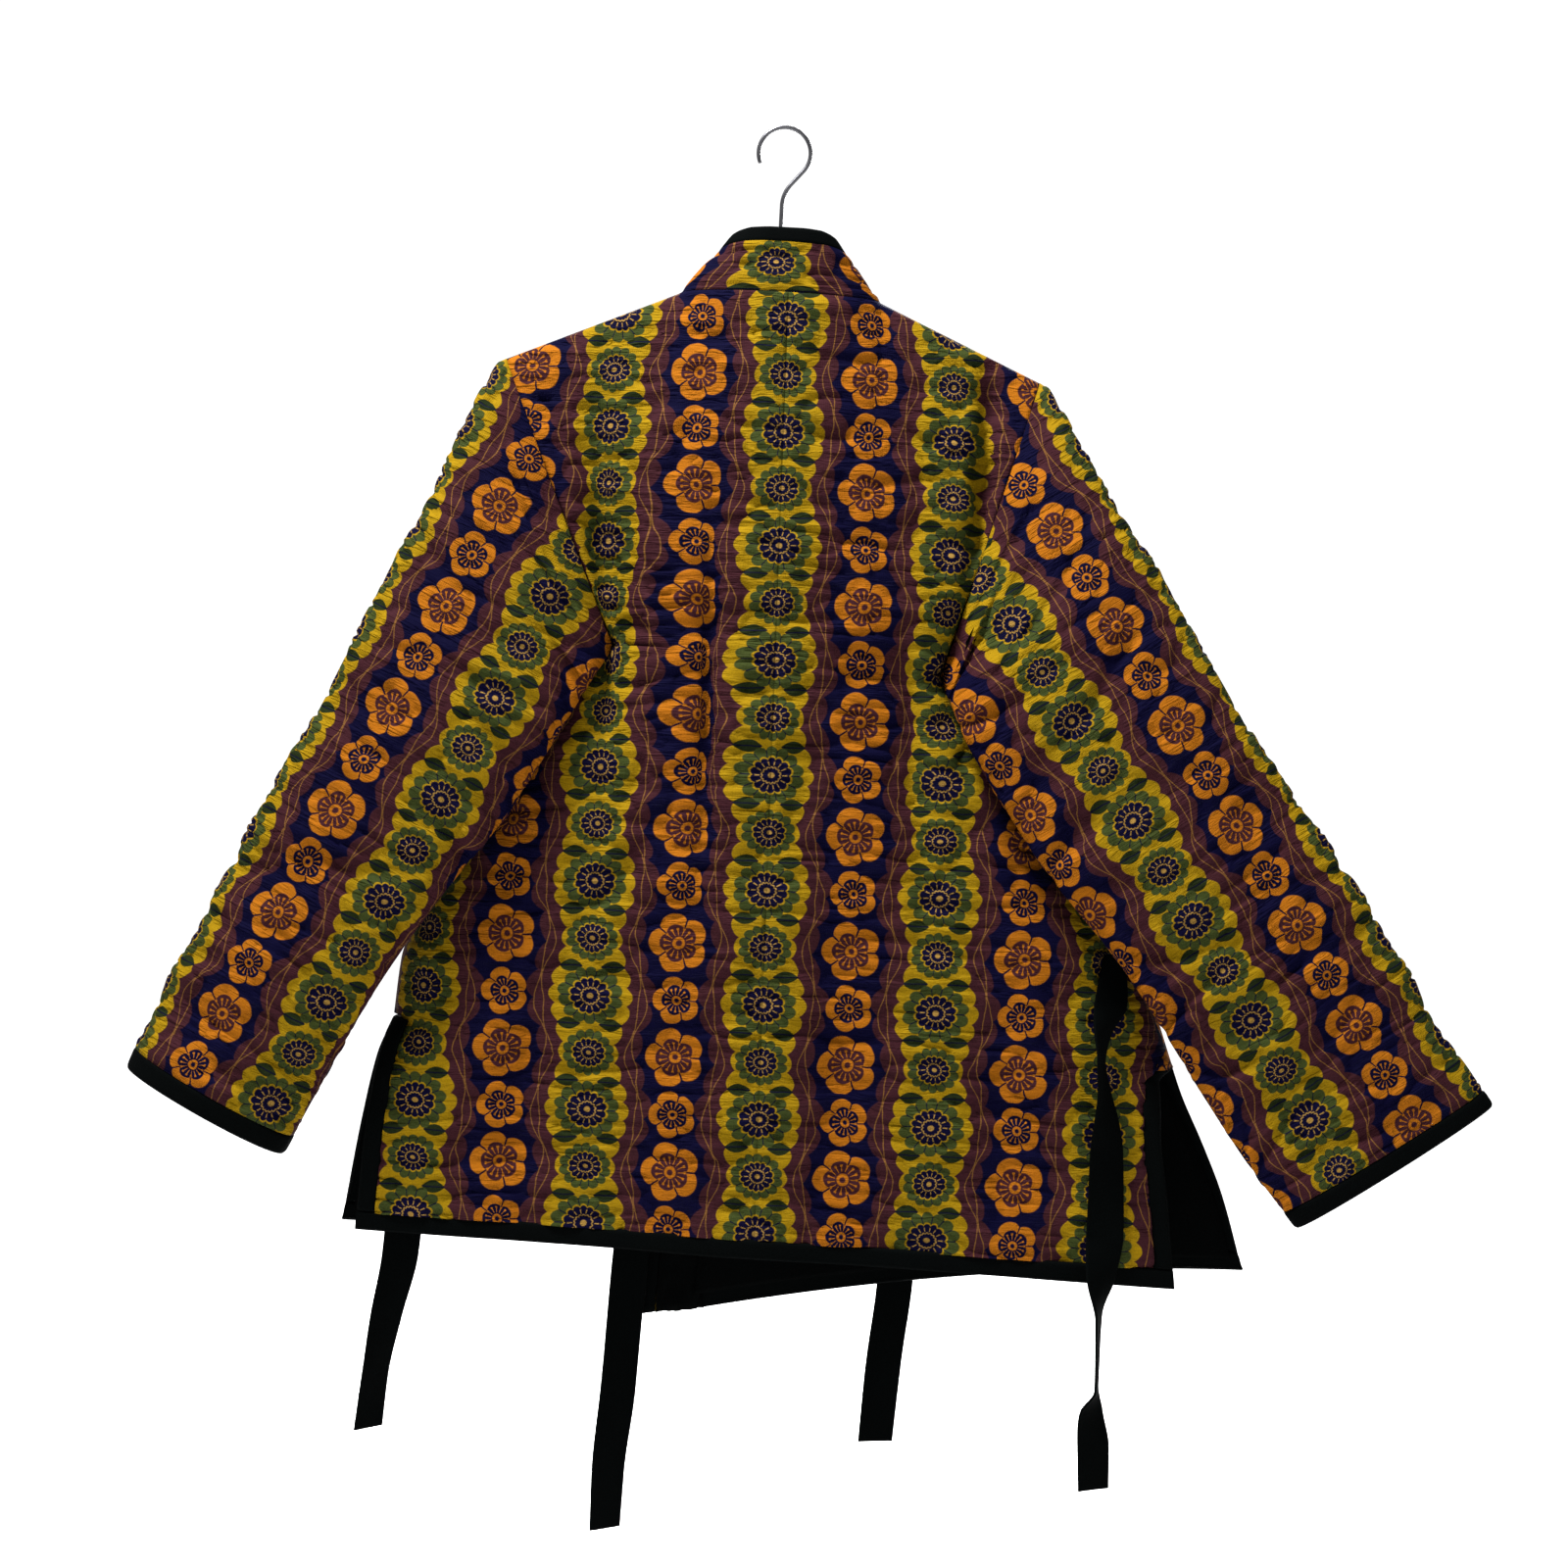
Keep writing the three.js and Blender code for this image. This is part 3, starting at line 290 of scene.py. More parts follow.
def back_point(side, u, v, folds=True):
    """A point of the back: u from the centre seam to the side, v down the side."""
    outward = OUTWARD[side]
    edge_x, edge_y, edge_z = side_edge(side, -1, v)
    middle_z = row_z(side, v, BACK_HEM_Z)
    x = mix(centre_x(middle_z), edge_x, u)
    top_x = mix(centre_x(NECK_Z), SHOULDER[side]["x"], u)
    corner = np.maximum(0, (top_x - NECK[side]) * outward)
    raised = NECK_Z + shoulder_slope(side) * corner * outward - mix(NECK_Z, SHOULDER[side]["z"], u)
    z = mix(middle_z, edge_z, u) + raised * (1 - dropped(v)) ** 2
    top = np.where((x - NECK[side]) * outward > 0, shoulder_z(x), NECK_Z)
    below = np.maximum(0, top - z)
    standing = np.hypot(neck_depth(x, below), reading(HANG, COLUMNS_HANG, "below", "out", below))
    upper = mix(edge_y, -standing, closing(u))
    y = np.where(v <= 1, upper, lower_y(side, -1, x, z, standing))
    if folds:
        y = y + folded(BACK_FOLDS, x, z) * (1 - u**14) * ease(below / 40)
    return np.stack([x, y, z], axis=-1)


def uneven(x, z, wide, tall, seed):
    """Smooth unevenness from -1 to 1, over patches of the given width and height in millimetres."""
    lattice = np.random.default_rng(seed).uniform(-1, 1, (97, 89))
    across, up = x / wide, z / tall
    column, row = np.floor(across).astype(int), np.floor(up).astype(int)
    a, b = ease(across - column), ease(up - row)
    low = mix(lattice[row % 97, column % 89], lattice[row % 97, (column + 1) % 89], a)
    high = mix(lattice[(row + 1) % 97, column % 89], lattice[(row + 1) % 97, (column + 1) % 89], a)
    return mix(low, high, b)


def puckers(x, z):
    """The padded cloth's rounded crosswise puffs, parted by thin creases: millimetres of height."""
    drift = 5 * uneven(x, z, 60, 45, 3)
    short = np.abs(uneven(x + drift, z + 0.5 * drift, 24, 8.5, 1))
    long = np.abs(uneven(x, z + drift, 46, 14, 2))
    soft = uneven(x, z, 42, 24, 4)
    return 2.7 * (1 - np.exp(-short * 5)) + 2.2 * (1 - np.exp(-long * 6)) + 1.8 * soft - 3.9


def normals_of(points, outward):
    across = np.gradient(points, axis=1)
    down = np.gradient(points, axis=0)
    n = np.cross(across, down) * outward
    return n / np.maximum(np.linalg.norm(n, axis=-1, keepdims=True), 1e-9)


def cloth_piece(name, node, points, uv, facing, cloths, joined=False, wall=PADDED):
    """A grid laid on the points, rows by columns, with its print's place in metres, given a wall.

    It stands for the node, which it hides. facing is -1 where the rows and columns turn the other way
    round from the outside, and cloths are the outer and the inner one."""
    rows, columns = points.shape[:2]
    bpy.ops.mesh.primitive_grid_add(x_subdivisions=columns - 1, y_subdivisions=rows - 1, calc_uvs=True)
    piece = bpy.context.object
    piece.name = name
    mesh = piece.data
    mesh.vertices.foreach_set("co", (points * MM).astype(np.float32).ravel())
    corner = np.empty(len(mesh.loops), np.int32)
    mesh.loops.foreach_get("vertex_index", corner)
    mesh.uv_layers[0].data.foreach_set("uv", (uv.reshape(-1, 2) * MM).astype(np.float32)[corner].ravel())
    bpy.ops.object.mode_set(mode="EDIT")
    bpy.ops.mesh.select_all(action="SELECT")
    if facing < 0:
        bpy.ops.mesh.flip_normals()
    if joined:
        bpy.ops.mesh.remove_doubles(threshold=0.00002)
    bpy.ops.object.mode_set(mode="OBJECT")
    bpy.ops.object.shade_smooth()
    for cloth in cloths:
        mesh.materials.append(cloth)
    shell = piece.modifiers.new("wall", "SOLIDIFY")
    shell.thickness = wall * MM
    shell.offset = -1
    shell.use_even_offset = False
    shell.material_offset = len(cloths) - 1
    bpy.ops.object.modifier_apply(modifier="wall")
    piece.location = (0, 0, 0)
    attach(piece, "root")
    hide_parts(node)
    return piece


def walked(step):
    """How far each point lies along its row from the row's start, from the steps between them."""
    return np.concatenate([np.zeros((len(step), 1)), np.cumsum(step, axis=1)], axis=1)


def run_across(points):
    return walked(np.linalg.norm(np.diff(points[..., :2], axis=1), axis=-1))


class Shade:
    """One socket of a material's node tree, which can stand in a sum."""

    def __init__(self, tree, socket):
        self.tree = tree
        self.socket = socket

    def maths(self, operation, *values):
        return make(self.tree, "ShaderNodeMath", {"operation": operation}, [self, *values])

    def __add__(self, other):
        return self.maths("ADD", other)

    __radd__ = __add__

    def __sub__(self, other):
        return self.maths("SUBTRACT", other)

    def __rsub__(self, other):
        return make(self.tree, "ShaderNodeMath", {"operation": "SUBTRACT"}, [other, self])

    def __mul__(self, other):
        return self.maths("MULTIPLY", other)

    __rmul__ = __mul__

    def __truediv__(self, other):
        return self.maths("DIVIDE", other)

    def __abs__(self):
        return self.maths("ABSOLUTE")

    def __mod__(self, other):
        return self.maths("FLOORED_MODULO", other)

    def __pow__(self, other):
        return self.maths("POWER", other)

    def sine(self):
        return self.maths("SINE")

    def under(self, edge, soft):
        """1 where this is well under the edge, 0 where it is well over it."""
        return ((edge - self) / soft + 0.5).maths("MAXIMUM", 0).maths("MINIMUM", 1)


def make(tree, kind, settings=None, inputs=(), output=0):
    """A node of a kind, with its settings and the values or links of its sockets; returns one output."""
    node = tree.nodes.new(kind)
    for setting, value in (settings or {}).items():
        setattr(node, setting, value)
    pairs = inputs.items() if isinstance(inputs, dict) else enumerate(inputs)
    for key, value in pairs:
        if isinstance(value, Shade):
            tree.links.new(value.socket, node.inputs[key])
        else:
            node.inputs[key].default_value = value
    return Shade(tree, node.outputs[output])


STUDIO_LIGHT = 6.6


def seen(red, green, blue):
    """A colour as it shows under the studio's lamps, 0 to 255, as the share of their light it gives back."""
    light = [(c / 255 + 0.055) / 1.055 if c > 10 else c / 255 / 12.92 for c in (red, green, blue)]
    return (*[(c**2.4 if c > 0.05 else c) / STUDIO_LIGHT for c in light], 1)


def noise(tree, place, scale, detail, settings=None, **more):
    values = {"Vector": place, "Scale": scale, "Detail": detail, **more}
    return make(tree, "ShaderNodeTexNoise", settings, values)


def new_material(name):
    made = bpy.data.materials.new(name)
    made.use_nodes = True
    return made, made.node_tree


def finished(tree, colour, height, strength, distance, values):
    """The surface's colour, its relief, and the plain values of its other sockets."""
    settings = {"Strength": strength, "Distance": distance, "Height": height}
    bump = make(tree, "ShaderNodeBump", {}, settings)
    surface = tree.nodes["Principled BSDF"]
    tree.links.new(colour.socket, surface.inputs["Base Color"])
    tree.links.new(bump.socket, surface.inputs["Normal"])
    for name, value in values.items():
        surface.inputs[name].default_value = value


def painted(tree, under, over, mask):
    """One colour over another where the mask is 1."""
    sockets = {0: mask, 6: under, 7: over}
    return make(tree, "ShaderNodeMix", {"data_type": "RGBA"}, sockets, output=2)


NAVY = seen(11, 9, 48)
AUBERGINE = seen(74, 37, 44)
ORANGE = seen(206, 122, 24)
MUSTARD = seen(188, 148, 18)
OLIVE = seen(72, 82, 38)
LEAF = seen(40, 50, 24)
GOLD = seen(190, 148, 72)
LINE = seen(150, 104, 52)
REPEAT_WIDE = 130
REPEAT_TALL = 86


def flower(x, y, radius, petals, depth, squash=1.0):
    """How far out a place is in a flower, as a share of its petalled edge, and the angle round it."""
    angle = make(x.tree, "ShaderNodeMath", {"operation": "ARCTAN2"}, [y, x])
    length = (x * x + y * y * squash).maths("SQRT")
    petal = abs((angle * (petals / 2)).sine())
    edge = radius * (1 - depth) + petal**0.6 * (radius * depth)
    return length / edge, angle, length


def printed_cloth(name):
    """Padded cotton with a print of wavy bands, chrysanthemums and plum blossoms, in a half drop."""
    cloth, tree = new_material(name)
    place = make(tree, "ShaderNodeUVMap")
    apart = tree.nodes.new("ShaderNodeSeparateXYZ")
    tree.links.new(place.socket, apart.inputs[0])
    u = Shade(tree, apart.outputs[0]) * 1000
    v = Shade(tree, apart.outputs[1]) * 1000
    flat = {"noise_dimensions": "2D"}
    ripple = noise(tree, place, 60.0, 2.0, flat)
    u = u + (ripple - 0.5) * 2.4
    v = v + (ripple - 0.5) * 2.0
    turn = v * (2 * math.pi / REPEAT_TALL)
    wave = turn.sine()

    # place across one repeat, counted from the middle of the wide mustard band
    across = (u + REPEAT_WIDE / 2) % REPEAT_WIDE - REPEAT_WIDE / 2
    from_wide = abs(across)
    other = (u % REPEAT_WIDE) - REPEAT_WIDE / 2
    high = (v % REPEAT_TALL) - REPEAT_TALL / 4
    low = ((v + REPEAT_TALL / 2) % REPEAT_TALL) - REPEAT_TALL / 4

    # the wide band's lobed edge, the aubergine bands beside it, and the navy ground
    mustard_edge = 23.0 + wave * 4.5 + (abs((turn * 3).sine()) ** 0.7) * 4.4
    aubergine_edge = 38.5 + wave * 5.0 + (abs((turn * 2 + 0.6).sine()) ** 0.7) * 6.0
    colour = painted(tree, NAVY, AUBERGINE, from_wide.under(aubergine_edge, 0.7))
    for line in (33.5, 37.5):
        drawn = abs(from_wide - (line + wave * 4.5 + (turn * 2 + line).sine() * 1.8)).under(0.38, 0.4)
        colour = painted(tree, colour, LINE, drawn)
    wide_band = from_wide.under(mustard_edge, 0.7)
    colour = painted(tree, colour, MUSTARD, wide_band)
    raised = wide_band * 0.5 + from_wide.under(aubergine_edge, 1.5) * 0.5

    # leaves in pairs between the chrysanthemums
    beside = (from_wide - 16) / 9
    up = abs((v + REPEAT_TALL / 4) % (REPEAT_TALL / 2) - REPEAT_TALL / 4)
    leaf = (up - 4.6 * (1 - beside * beside)).under(0, 0.5)
    colour = painted(tree, colour, LEAF, leaf)
    colour = painted(tree, colour, NAVY, leaf * up.under(0.4, 0.3))

    # chrysanthemums down the wide band, a large one in each bulge and a small one in each narrow
    for where, radius in ((high, 25.0), (low, 20.0)):
        out, angle, _ = flower(across, where, radius, 14, 0.16, 1.3)
        petals = out.under(1, 0.03)
        colour = painted(tree, colour, OLIVE, petals)
        veins = abs((angle * 7).sine()).under(0.14, 0.1) * petals * (1 - out.under(0.66, 0.03))
        colour = painted(tree, colour, NAVY, veins)
        colour = painted(tree, colour, MUSTARD, out.under(0.67, 0.03))
        colour = painted(tree, colour, NAVY, out.under(0.61, 0.03))
        spokes = abs((angle * 7).sine()).under(0.3, 0.15) * abs(out - 0.45).under(0.08, 0.03)
        colour = painted(tree, colour, GOLD, spokes)
        colour = painted(tree, colour, GOLD, abs(out - 0.28).under(0.022, 0.03))
        colour = painted(tree, colour, GOLD, out.under(0.1, 0.03))
        raised = raised + petals * 0.5 - out.under(0.55, 0.05) * 0.4

    # plum blossoms down the navy ground, each with a darker blossom and its stamens inside
    for where, radius, heart_colour in ((low, 22.5, AUBERGINE), (high, 18.0, NAVY)):
        out, angle, length = flower(other, where, radius, 5, 0.26)
        petals = out.under(1, 0.04)
        colour = painted(tree, colour, ORANGE, petals)
        gaps = abs((angle * 2.5).sine()).under(0.1, 0.06) * petals
        colour = painted(tree, colour, NAVY, gaps)
        from_middle = length / radius
        colour = painted(tree, colour, heart_colour, (out * 1.55).under(1, 0.05))
        stamens = abs((angle * 7.5).sine()).under(0.3, 0.15) * abs(from_middle - 0.37).under(0.11, 0.03)
        colour = painted(tree, colour, ORANGE, stamens)
        tips = abs((angle * 7.5).sine()).under(0.6, 0.2) * abs(from_middle - 0.48).under(0.035, 0.03)
        colour = painted(tree, colour, ORANGE, tips)
        colour = painted(tree, colour, ORANGE, from_middle.under(0.2, 0.04))
        colour = painted(tree, colour, heart_colour, from_middle.under(0.1, 0.04))
        raised = raised + petals * (1 - gaps) * 1.1

    # threads: each row of weft a little lighter or darker
    threads = noise(tree, place, 900.0, 1.0, flat)
    colour = painted(tree, colour, (0, 0, 0, 1), (threads - 0.35) * 0.28)

    crinkle_place = make(tree, "ShaderNodeMapping", {}, {"Vector": place, "Scale": (30.0, 190.0, 1.0)})
    crinkle = noise(tree, crinkle_place, 1.0, 3.0, flat, Roughness=0.55)
    creases = 1 - (abs(crinkle - 0.5) * 9).maths("MINIMUM", 1)
    ribs = (u * (2 * math.pi / 1.5)).sine()
    height = crinkle * 6.0 - creases * 0.9 + ribs * 0.05 + threads * 0.12 + raised * 0.45
    finished(tree, colour, height, 0.75, 0.001, {"Roughness": 0.8, "Specular IOR Level": 0.01})
    return cloth


def dark_cloth(name, tint, weave_scale, weave_depth):
    """Near black cotton with a fine plain weave and a faint bloom."""
    cloth, tree = new_material(name)
    place = make(tree, "ShaderNodeTexCoord", output=3)
    grain = noise(tree, place, weave_scale, 2.0)
    slow = noise(tree, place, 35.0, 2.0)
    light = tuple(c * 1.9 for c in tint[:3]) + (1,)
    colour = painted(tree, tint, light, grain * 0.6 + slow * 0.4)
    values = {"Roughness": 0.85, "Specular IOR Level": 0.005}
    finished(tree, colour, grain + slow * 2, 0.5, weave_depth, values)
    return cloth


print_cloth = printed_cloth("printed_padded_cotton")
lining_cloth = dark_cloth("black_lining", seen(4, 5, 5), 700.0, 0.0003)
binding_cloth = dark_cloth("black_binding", seen(5, 7, 7), 900.0, 0.0004)
PRINTED = (print_cloth, lining_cloth)
BOUND = PADDED + 0.6

# Rows down a panel's side, the width of the bindings and the length of the slits in millimetres, and how far
# the padding stands up away from its seams
ARM_ROWS = np.arccos(1 - 2 * np.linspace(0, 1, 132)) / math.pi
PANEL_ROWS = np.concatenate([ARM_ROWS[:-1], np.linspace(1, 2, 140)[:-1], np.linspace(2, 3, 80)])
BINDING_WIDE = 15
SLIT_LONG = 165
SEAM_RAISE = 1.2
# Round the row where the armhole ends, how far the cloth is smoothed, and in how many passes
EVENED = {"reach": 0.22, "passes": 260}


def evened(points, v, u):
    """The cloth's depth smoothed down its rows where the armhole ends, except at the side."""
    depth = points[..., 1].copy()
    rows = np.where(np.abs(v[:, 0] - 1) < EVENED["reach"])[0]
    loose = (1 - u[rows] ** 8) * ease((EVENED["reach"] - np.abs(v[rows, 0] - 1)) / 0.1)[:, None]
    for _ in range(EVENED["passes"]):
        even = (depth[rows - 1] + 2 * depth[rows] + depth[rows + 1]) / 4
        depth[rows] = mix(depth[rows], even, loose)
    return np.stack([points[..., 0], depth, points[..., 2]], axis=-1)


def back_half(side):
    outward = OUTWARD[side]
    hem = 3 - (BINDING_WIDE - 1) / SLIT_LONG
    v = np.minimum(PANEL_ROWS, hem)[:, None] * np.ones((1, 64))
    v = v[PANEL_ROWS < hem + 0.02]
    width = np.abs(side_edge(side, -1, v)[0] - centre_x(row_z(side, v, BACK_HEM_Z)))
    inside_share = np.where(v > 2, 1 - (BINDING_WIDE - 1) / width, 1)
    u = np.linspace(0, 1, 64)[None, :] * inside_share
    points = evened(back_point(side, u, v), v, u)
    smooth = back_point(side, u, v, folds=False)
    x, z = points[..., 0], points[..., 2]
    to_side = (1 - u) * width
    to_centre = u * width
    below = np.maximum(0, np.where((x - NECK[side]) * outward > 0, shoulder_z(x), NECK_Z) - z)
    seam = near(to_centre, 4) + near(below, 4) + np.where(v < 2, near(to_side, 5), 0)
    gathered = 1 + 0.5 * np.exp(-to_centre / 14) + 0.5 * np.exp(-to_side / 18)
    creased = folded(BACK_CREASES, x, z) + folded(CROSS_CREASES, z, x)
    height = (SEAM_RAISE + puckers(x, z) * gathered - creased * (1 - u**14)) * (1 - np.minimum(seam, 1))
    points = points + normals_of(points, -outward) * height[..., None]
    place = outward * run_across(smooth) + taken_in(BACK_FOLDS, x, z) + taken_in(BACK_CREASES, x, z)
    uv = np.stack([place, z], axis=-1)
    piece = cloth_piece(f"back_{side}_cloth", f"back_{side}", points, uv, -outward, PRINTED)
    return piece


backs = {side: back_half(side) for side in OUTWARD}


# Back bindings
# Black cotton strips folded over the raw edges: one along the hem of both halves and one up each slit.
# They stand a little proud of the print and are stitched through close to their inner edge.
BACK_SHARE = (BINDING_WIDE + 0.3) / SLIT_LONG


def rolled(points, outward, across, plump):
    """The points of a binding, puffed up between its stitched edge and its fold."""
    round_it = np.sqrt(np.clip(1 - (2 * across - 1) ** 4, 0, 1))
    uneven = 0.25 * np.sin(points[..., 0] / 17) + 0.25 * np.sin(points[..., 2] / 23)
    return points + normals_of(points, outward) * ((plump + uneven) * round_it - 0.4)[..., None]


def binding(name, points, facing, across, node):
    length = np.concatenate([[0], np.cumsum(np.linalg.norm(np.diff(points[:, 0], axis=0), axis=-1))])
    uv = np.stack([across * BINDING_WIDE, length[:, None] * np.ones(points.shape[1])], axis=-1)
    puffed = rolled(points, facing, across, 1.1)
    piece = cloth_piece(name, node, puffed, uv, facing, (binding_cloth,), wall=BOUND)
    return piece


def slit_width(side, face, v):
    point = back_point if face < 0 else front_point
    return np.abs(point(side, np.ones_like(v), v)[..., 0] - point(side, np.zeros_like(v), v)[..., 0])


def back_hem():
    across = np.linspace(0, 1, 9)[:, None]
    v = mix(3 - BACK_SHARE, 3, across) * np.ones((1, 90))
    u = down(1, 0, 90, 9).T
    points = np.concatenate([back_point("left", u, v), back_point("right", u[:, ::-1], v)[:, 1:]], axis=1)
    points = points.transpose(1, 0, 2)
    return binding("back_hem_binding", points, 1, across.T * np.ones((179, 1)), "back_hem_band")


def slit_binding(side, face):
    outward = OUTWARD[side]
    name = "back" if face < 0 else "front"
    point = back_point if face < 0 else front_point
    share = BACK_SHARE if face < 0 else front_share(side)
    v = down(2.001, 3 - share, 60, 9)
    across = down(0, 1, 9, 60).T
    inner = 1 - (BINDING_WIDE - 0.5) / slit_width(side, face, v)
    points = point(side, mix(inner, 1, across), v)
    return binding(f"{name}_{side}_slit_binding", points, face * outward, across, f"{name}_{side}_slit_band")


back_hem()
for side in OUTWARD:
    slit_binding(side, -1)


# Fronts, two panels
# Each front runs from its collar seam to the side seam and is lined in black, which shows from behind
# through the slits and under the back's hem. The wearer's left front laps over the right one.
LINING = 1.2
# How far the lining stands off the padding, reaches under the collar and stops short of the slit's edge
LINING_GAP = 1.2
LINING_UNDER = 9
LINING_SHORT = BINDING_WIDE - 7
# How far the hem's binding runs on past the front's edge, as a share of the front's width
HEM_PAST = 0.007
COLUMNS_LINE = ("z", "x", "tilt", "lift")
FRONT_LINE = {
    "left": [
        (-129.5, -74, 50, 2), (-142, -72, 43, 13), (-160, -67, 34, 9), (-200, -54, 23, 3),
        (-260, -35, 18, 0), (-540, 58, 14, 0), (-620, 74, 0, 0), (-866, 74, 0, 0),
    ],
    "right": [
        (-129.5, 80, 50, 2), (-142, 78, 43, 13), (-160, 73, 34, 9), (-200, 61, 23, 3),
        (-260, 45, 18, 0), (-470, 6, 12, 0), (-560, 0, 4, 0), (-909, -15, -8, 0),
    ],
}
OVERLAP = {"rise": 9, "from": -190, "to": -60, "below": 60}
FRONT_FOLDS = [
    (-140, -330, 0.12, 120, 16, 12),
    (-120, -560, 0.15, 150, 18, 8),
    (-205, -740, 0.1, 110, 22, 7),
    (160, -330, -0.05, 120, 14, 13),
    (185, -560, -0.2, 120, 20, 8),
    (285, -760, -0.2, 110, 24, 8),
]


def front_share(side):
    return BINDING_WIDE / (SLIT_Z[side] - FRONT_EDGE[side][-1][0])


def front_y(side, x, z, v, folds=True):
    edge_x, edge_y, _ = side_edge(side, 1, v)
    share = (x - centre_x(z)) / (edge_x - centre_x(z))
    below = np.maximum(0, shoulder_z(x) - z)
    standing = reading(HANG, COLUMNS_HANG, "below", "out", below)
    y = np.where(v <= 1, mix(edge_y, standing, closing(share)), lower_y(side, 1, x, z, standing))
    fade = (1 - np.maximum(0, share) ** 14) * ease(below / 40)
    over = ease((x - OVERLAP["from"]) / (OVERLAP["to"] - OVERLAP["from"])) * ease(below / OVERLAP["below"])
    if side == "left":
        y = y + OVERLAP["rise"] * over
    return y - (folded(FRONT_FOLDS, x, z) * fade if folds else 0)


HEM_RISE = {"left": 2, "right": 10}


def front_point(side, u, v, folds=True):
    line = FRONT_LINE[side]
    edge_x, _, edge_z = side_edge(side, 1, v)
    line_z = row_z(side, v, line[-1][0])
    x = mix(reading(line, COLUMNS_LINE, "z", "x", line_z), edge_x, u)
    z = mix(line_z, edge_z, u) + 4 * HEM_RISE[side] * u * (1 - u) * ease(v - 2)
    return np.stack([x, front_y(side, x, z, v, folds), z], axis=-1)


def front_half(side):
    outward = OUTWARD[side]
    hem = 3 - front_share(side)
    v = np.minimum(PANEL_ROWS, hem)[:, None] * np.ones((1, 56))
    v = v[PANEL_ROWS < hem + 0.02]
    width = slit_width(side, 1, v)
    u = np.linspace(0, 1, 56)[None, :] * np.where(v > 2, 1 - (BINDING_WIDE - 0.7) / width, 1)
    points = evened(front_point(side, u, v), v, u)
    smooth = front_point(side, u, v, folds=False)
    x, z = points[..., 0], points[..., 2]
    to_side = (1 - u) * width
    below = np.maximum(0, shoulder_z(x) - z)
    seam = near(u * width, 5) + near(below, 4) + np.where(v < 2, near(to_side, 5), 0)
    creased = folded(BACK_CREASES, -x, z) + folded(CROSS_CREASES, z, -x)
    height = (SEAM_RAISE + puckers(x, z) - creased * (1 - u**14)) * (1 - np.minimum(seam, 1))
    points = points + normals_of(points, outward) * height[..., None]
    uv = np.stack([outward * run_across(smooth) + x[:, :1], z], axis=-1)
    piece = cloth_piece(f"front_{side}_cloth", f"front_{side}", points, uv, outward, PRINTED)
    return piece


def front_lining(side):
    outward = OUTWARD[side]
    hem = 3 - front_share(side)
    v = down(2.002, hem + 0.035, 60, 40)
    width = slit_width(side, 1, v)
    u = mix(-LINING_UNDER / width, 1 - LINING_SHORT / width, np.linspace(0, 1, 40)[None, :])
    points = front_point(side, u, v)
    loose = 0.5 * np.sin(points[..., 0] / 21 + 0.4 * np.sin(points[..., 2] / 30)) * ease((v - 2) * 4)
    points = points + normals_of(points, outward) * (loose - PADDED - LINING_GAP)[..., None]
    piece = cloth_piece(f"front_{side}_lining", f"lining_front_{side}", points, points[..., ::2],
                        outward, (lining_cloth,), wall=LINING)
    return piece


def front_hem(side):
    across = np.linspace(0, 1, 9)[:, None]
    v = mix(3 - front_share(side) + 0.001, 3, across) * np.ones((1, 90))
    u = down(1, -HEM_PAST, 90, 9).T
    points = front_point(side, u, v).transpose(1, 0, 2)
    return binding(f"front_{side}_hem_binding", points, OUTWARD[side], across.T * np.ones((90, 1)),
                   f"front_{side}_hem_band")


fronts = {}
for side in OUTWARD:
    fronts[side] = front_half(side)
    front_lining(side)
    slit_binding(side, 1)
    front_hem(side)


# Sleeves
# Straight padded tubes with the seam underneath, sewn to the armholes. They hang down over the sides of the
# body, so each is creased where it bends over the shoulder's end and crushed along its lower edge.
COLUMNS_SLEEVE = ("at", "up_x", "up_z", "low_x", "low_z", "y", "half")
SLEEVE = {
    "left": [
        (0, -204, -186.5, -111, -402, 0, 26), (0.05, -216, -204, -113, -407, -11, 26),
        (0.12, -227.5, -231, -116, -415, -21, 27), (0.25, -256.5, -304.5, -124, -431, -33, 27),
        (0.37, -290.5, -379.5, -141, -463, -43, 26), (0.5, -324.5, -458.5, -183, -538, -50, 25),
        (0.62, -361.5, -529.5, -230, -603.5, -51, 26), (0.75, -395, -604, -273.5, -673, -48, 30),
        (0.88, -432.5, -678, -308.5, -741, -42, 33), (1, -456, -737, -336, -797, -36, 35),
    ],
    "right": [
        (0, 204, -184, 140, -412, 0, 26), (0.05, 219.5, -203, 141.5, -417, -11, 26),
        (0.1, 232.5, -226.5, 143, -424, -20, 27), (0.2, 265.5, -280, 148, -436, -33, 27),
        (0.3, 299, -329.5, 156, -456, -43, 26), (0.45, 362, -429, 211, -540, -51, 25),
        (0.6, 435.5, -527.5, 290.5, -633, -52, 23), (0.75, 490, -603, 338.5, -701.5, -50, 21),
        (0.88, 533, -668.5, 384.5, -764.5, -46, 19), (1, 567, -713, 425.5, -812.5, -42, 18),
    ],
}
SLEEVE_FOLDS = {
    "left": [
        (0.2, 2.35, 0.05, 0.5, 9), (0.33, 1.2, 0.05, 0.6, 5), (0.47, 0.9, 0.04, 0.5, 7),
        (0.58, 1.9, 0.05, 0.6, 5), (0.7, 0.8, 0.045, 0.5, 7), (0.88, 1.0, 0.04, 0.5, 7),
        (0.4, 4.6, 0.06, 0.7, -6),
    ],
    "right": [
        (0.16, 1.9, 0.05, 0.6, 7), (0.4, 2.4, 0.05, 0.5, 6), (0.55, 1.0, 0.05, 0.5, 4),
        (0.72, 2.3, 0.035, 0.5, 7), (0.83, 2.2, 0.035, 0.5, 6), (0.5, 4.7, 0.07, 0.7, -5),
    ],
}
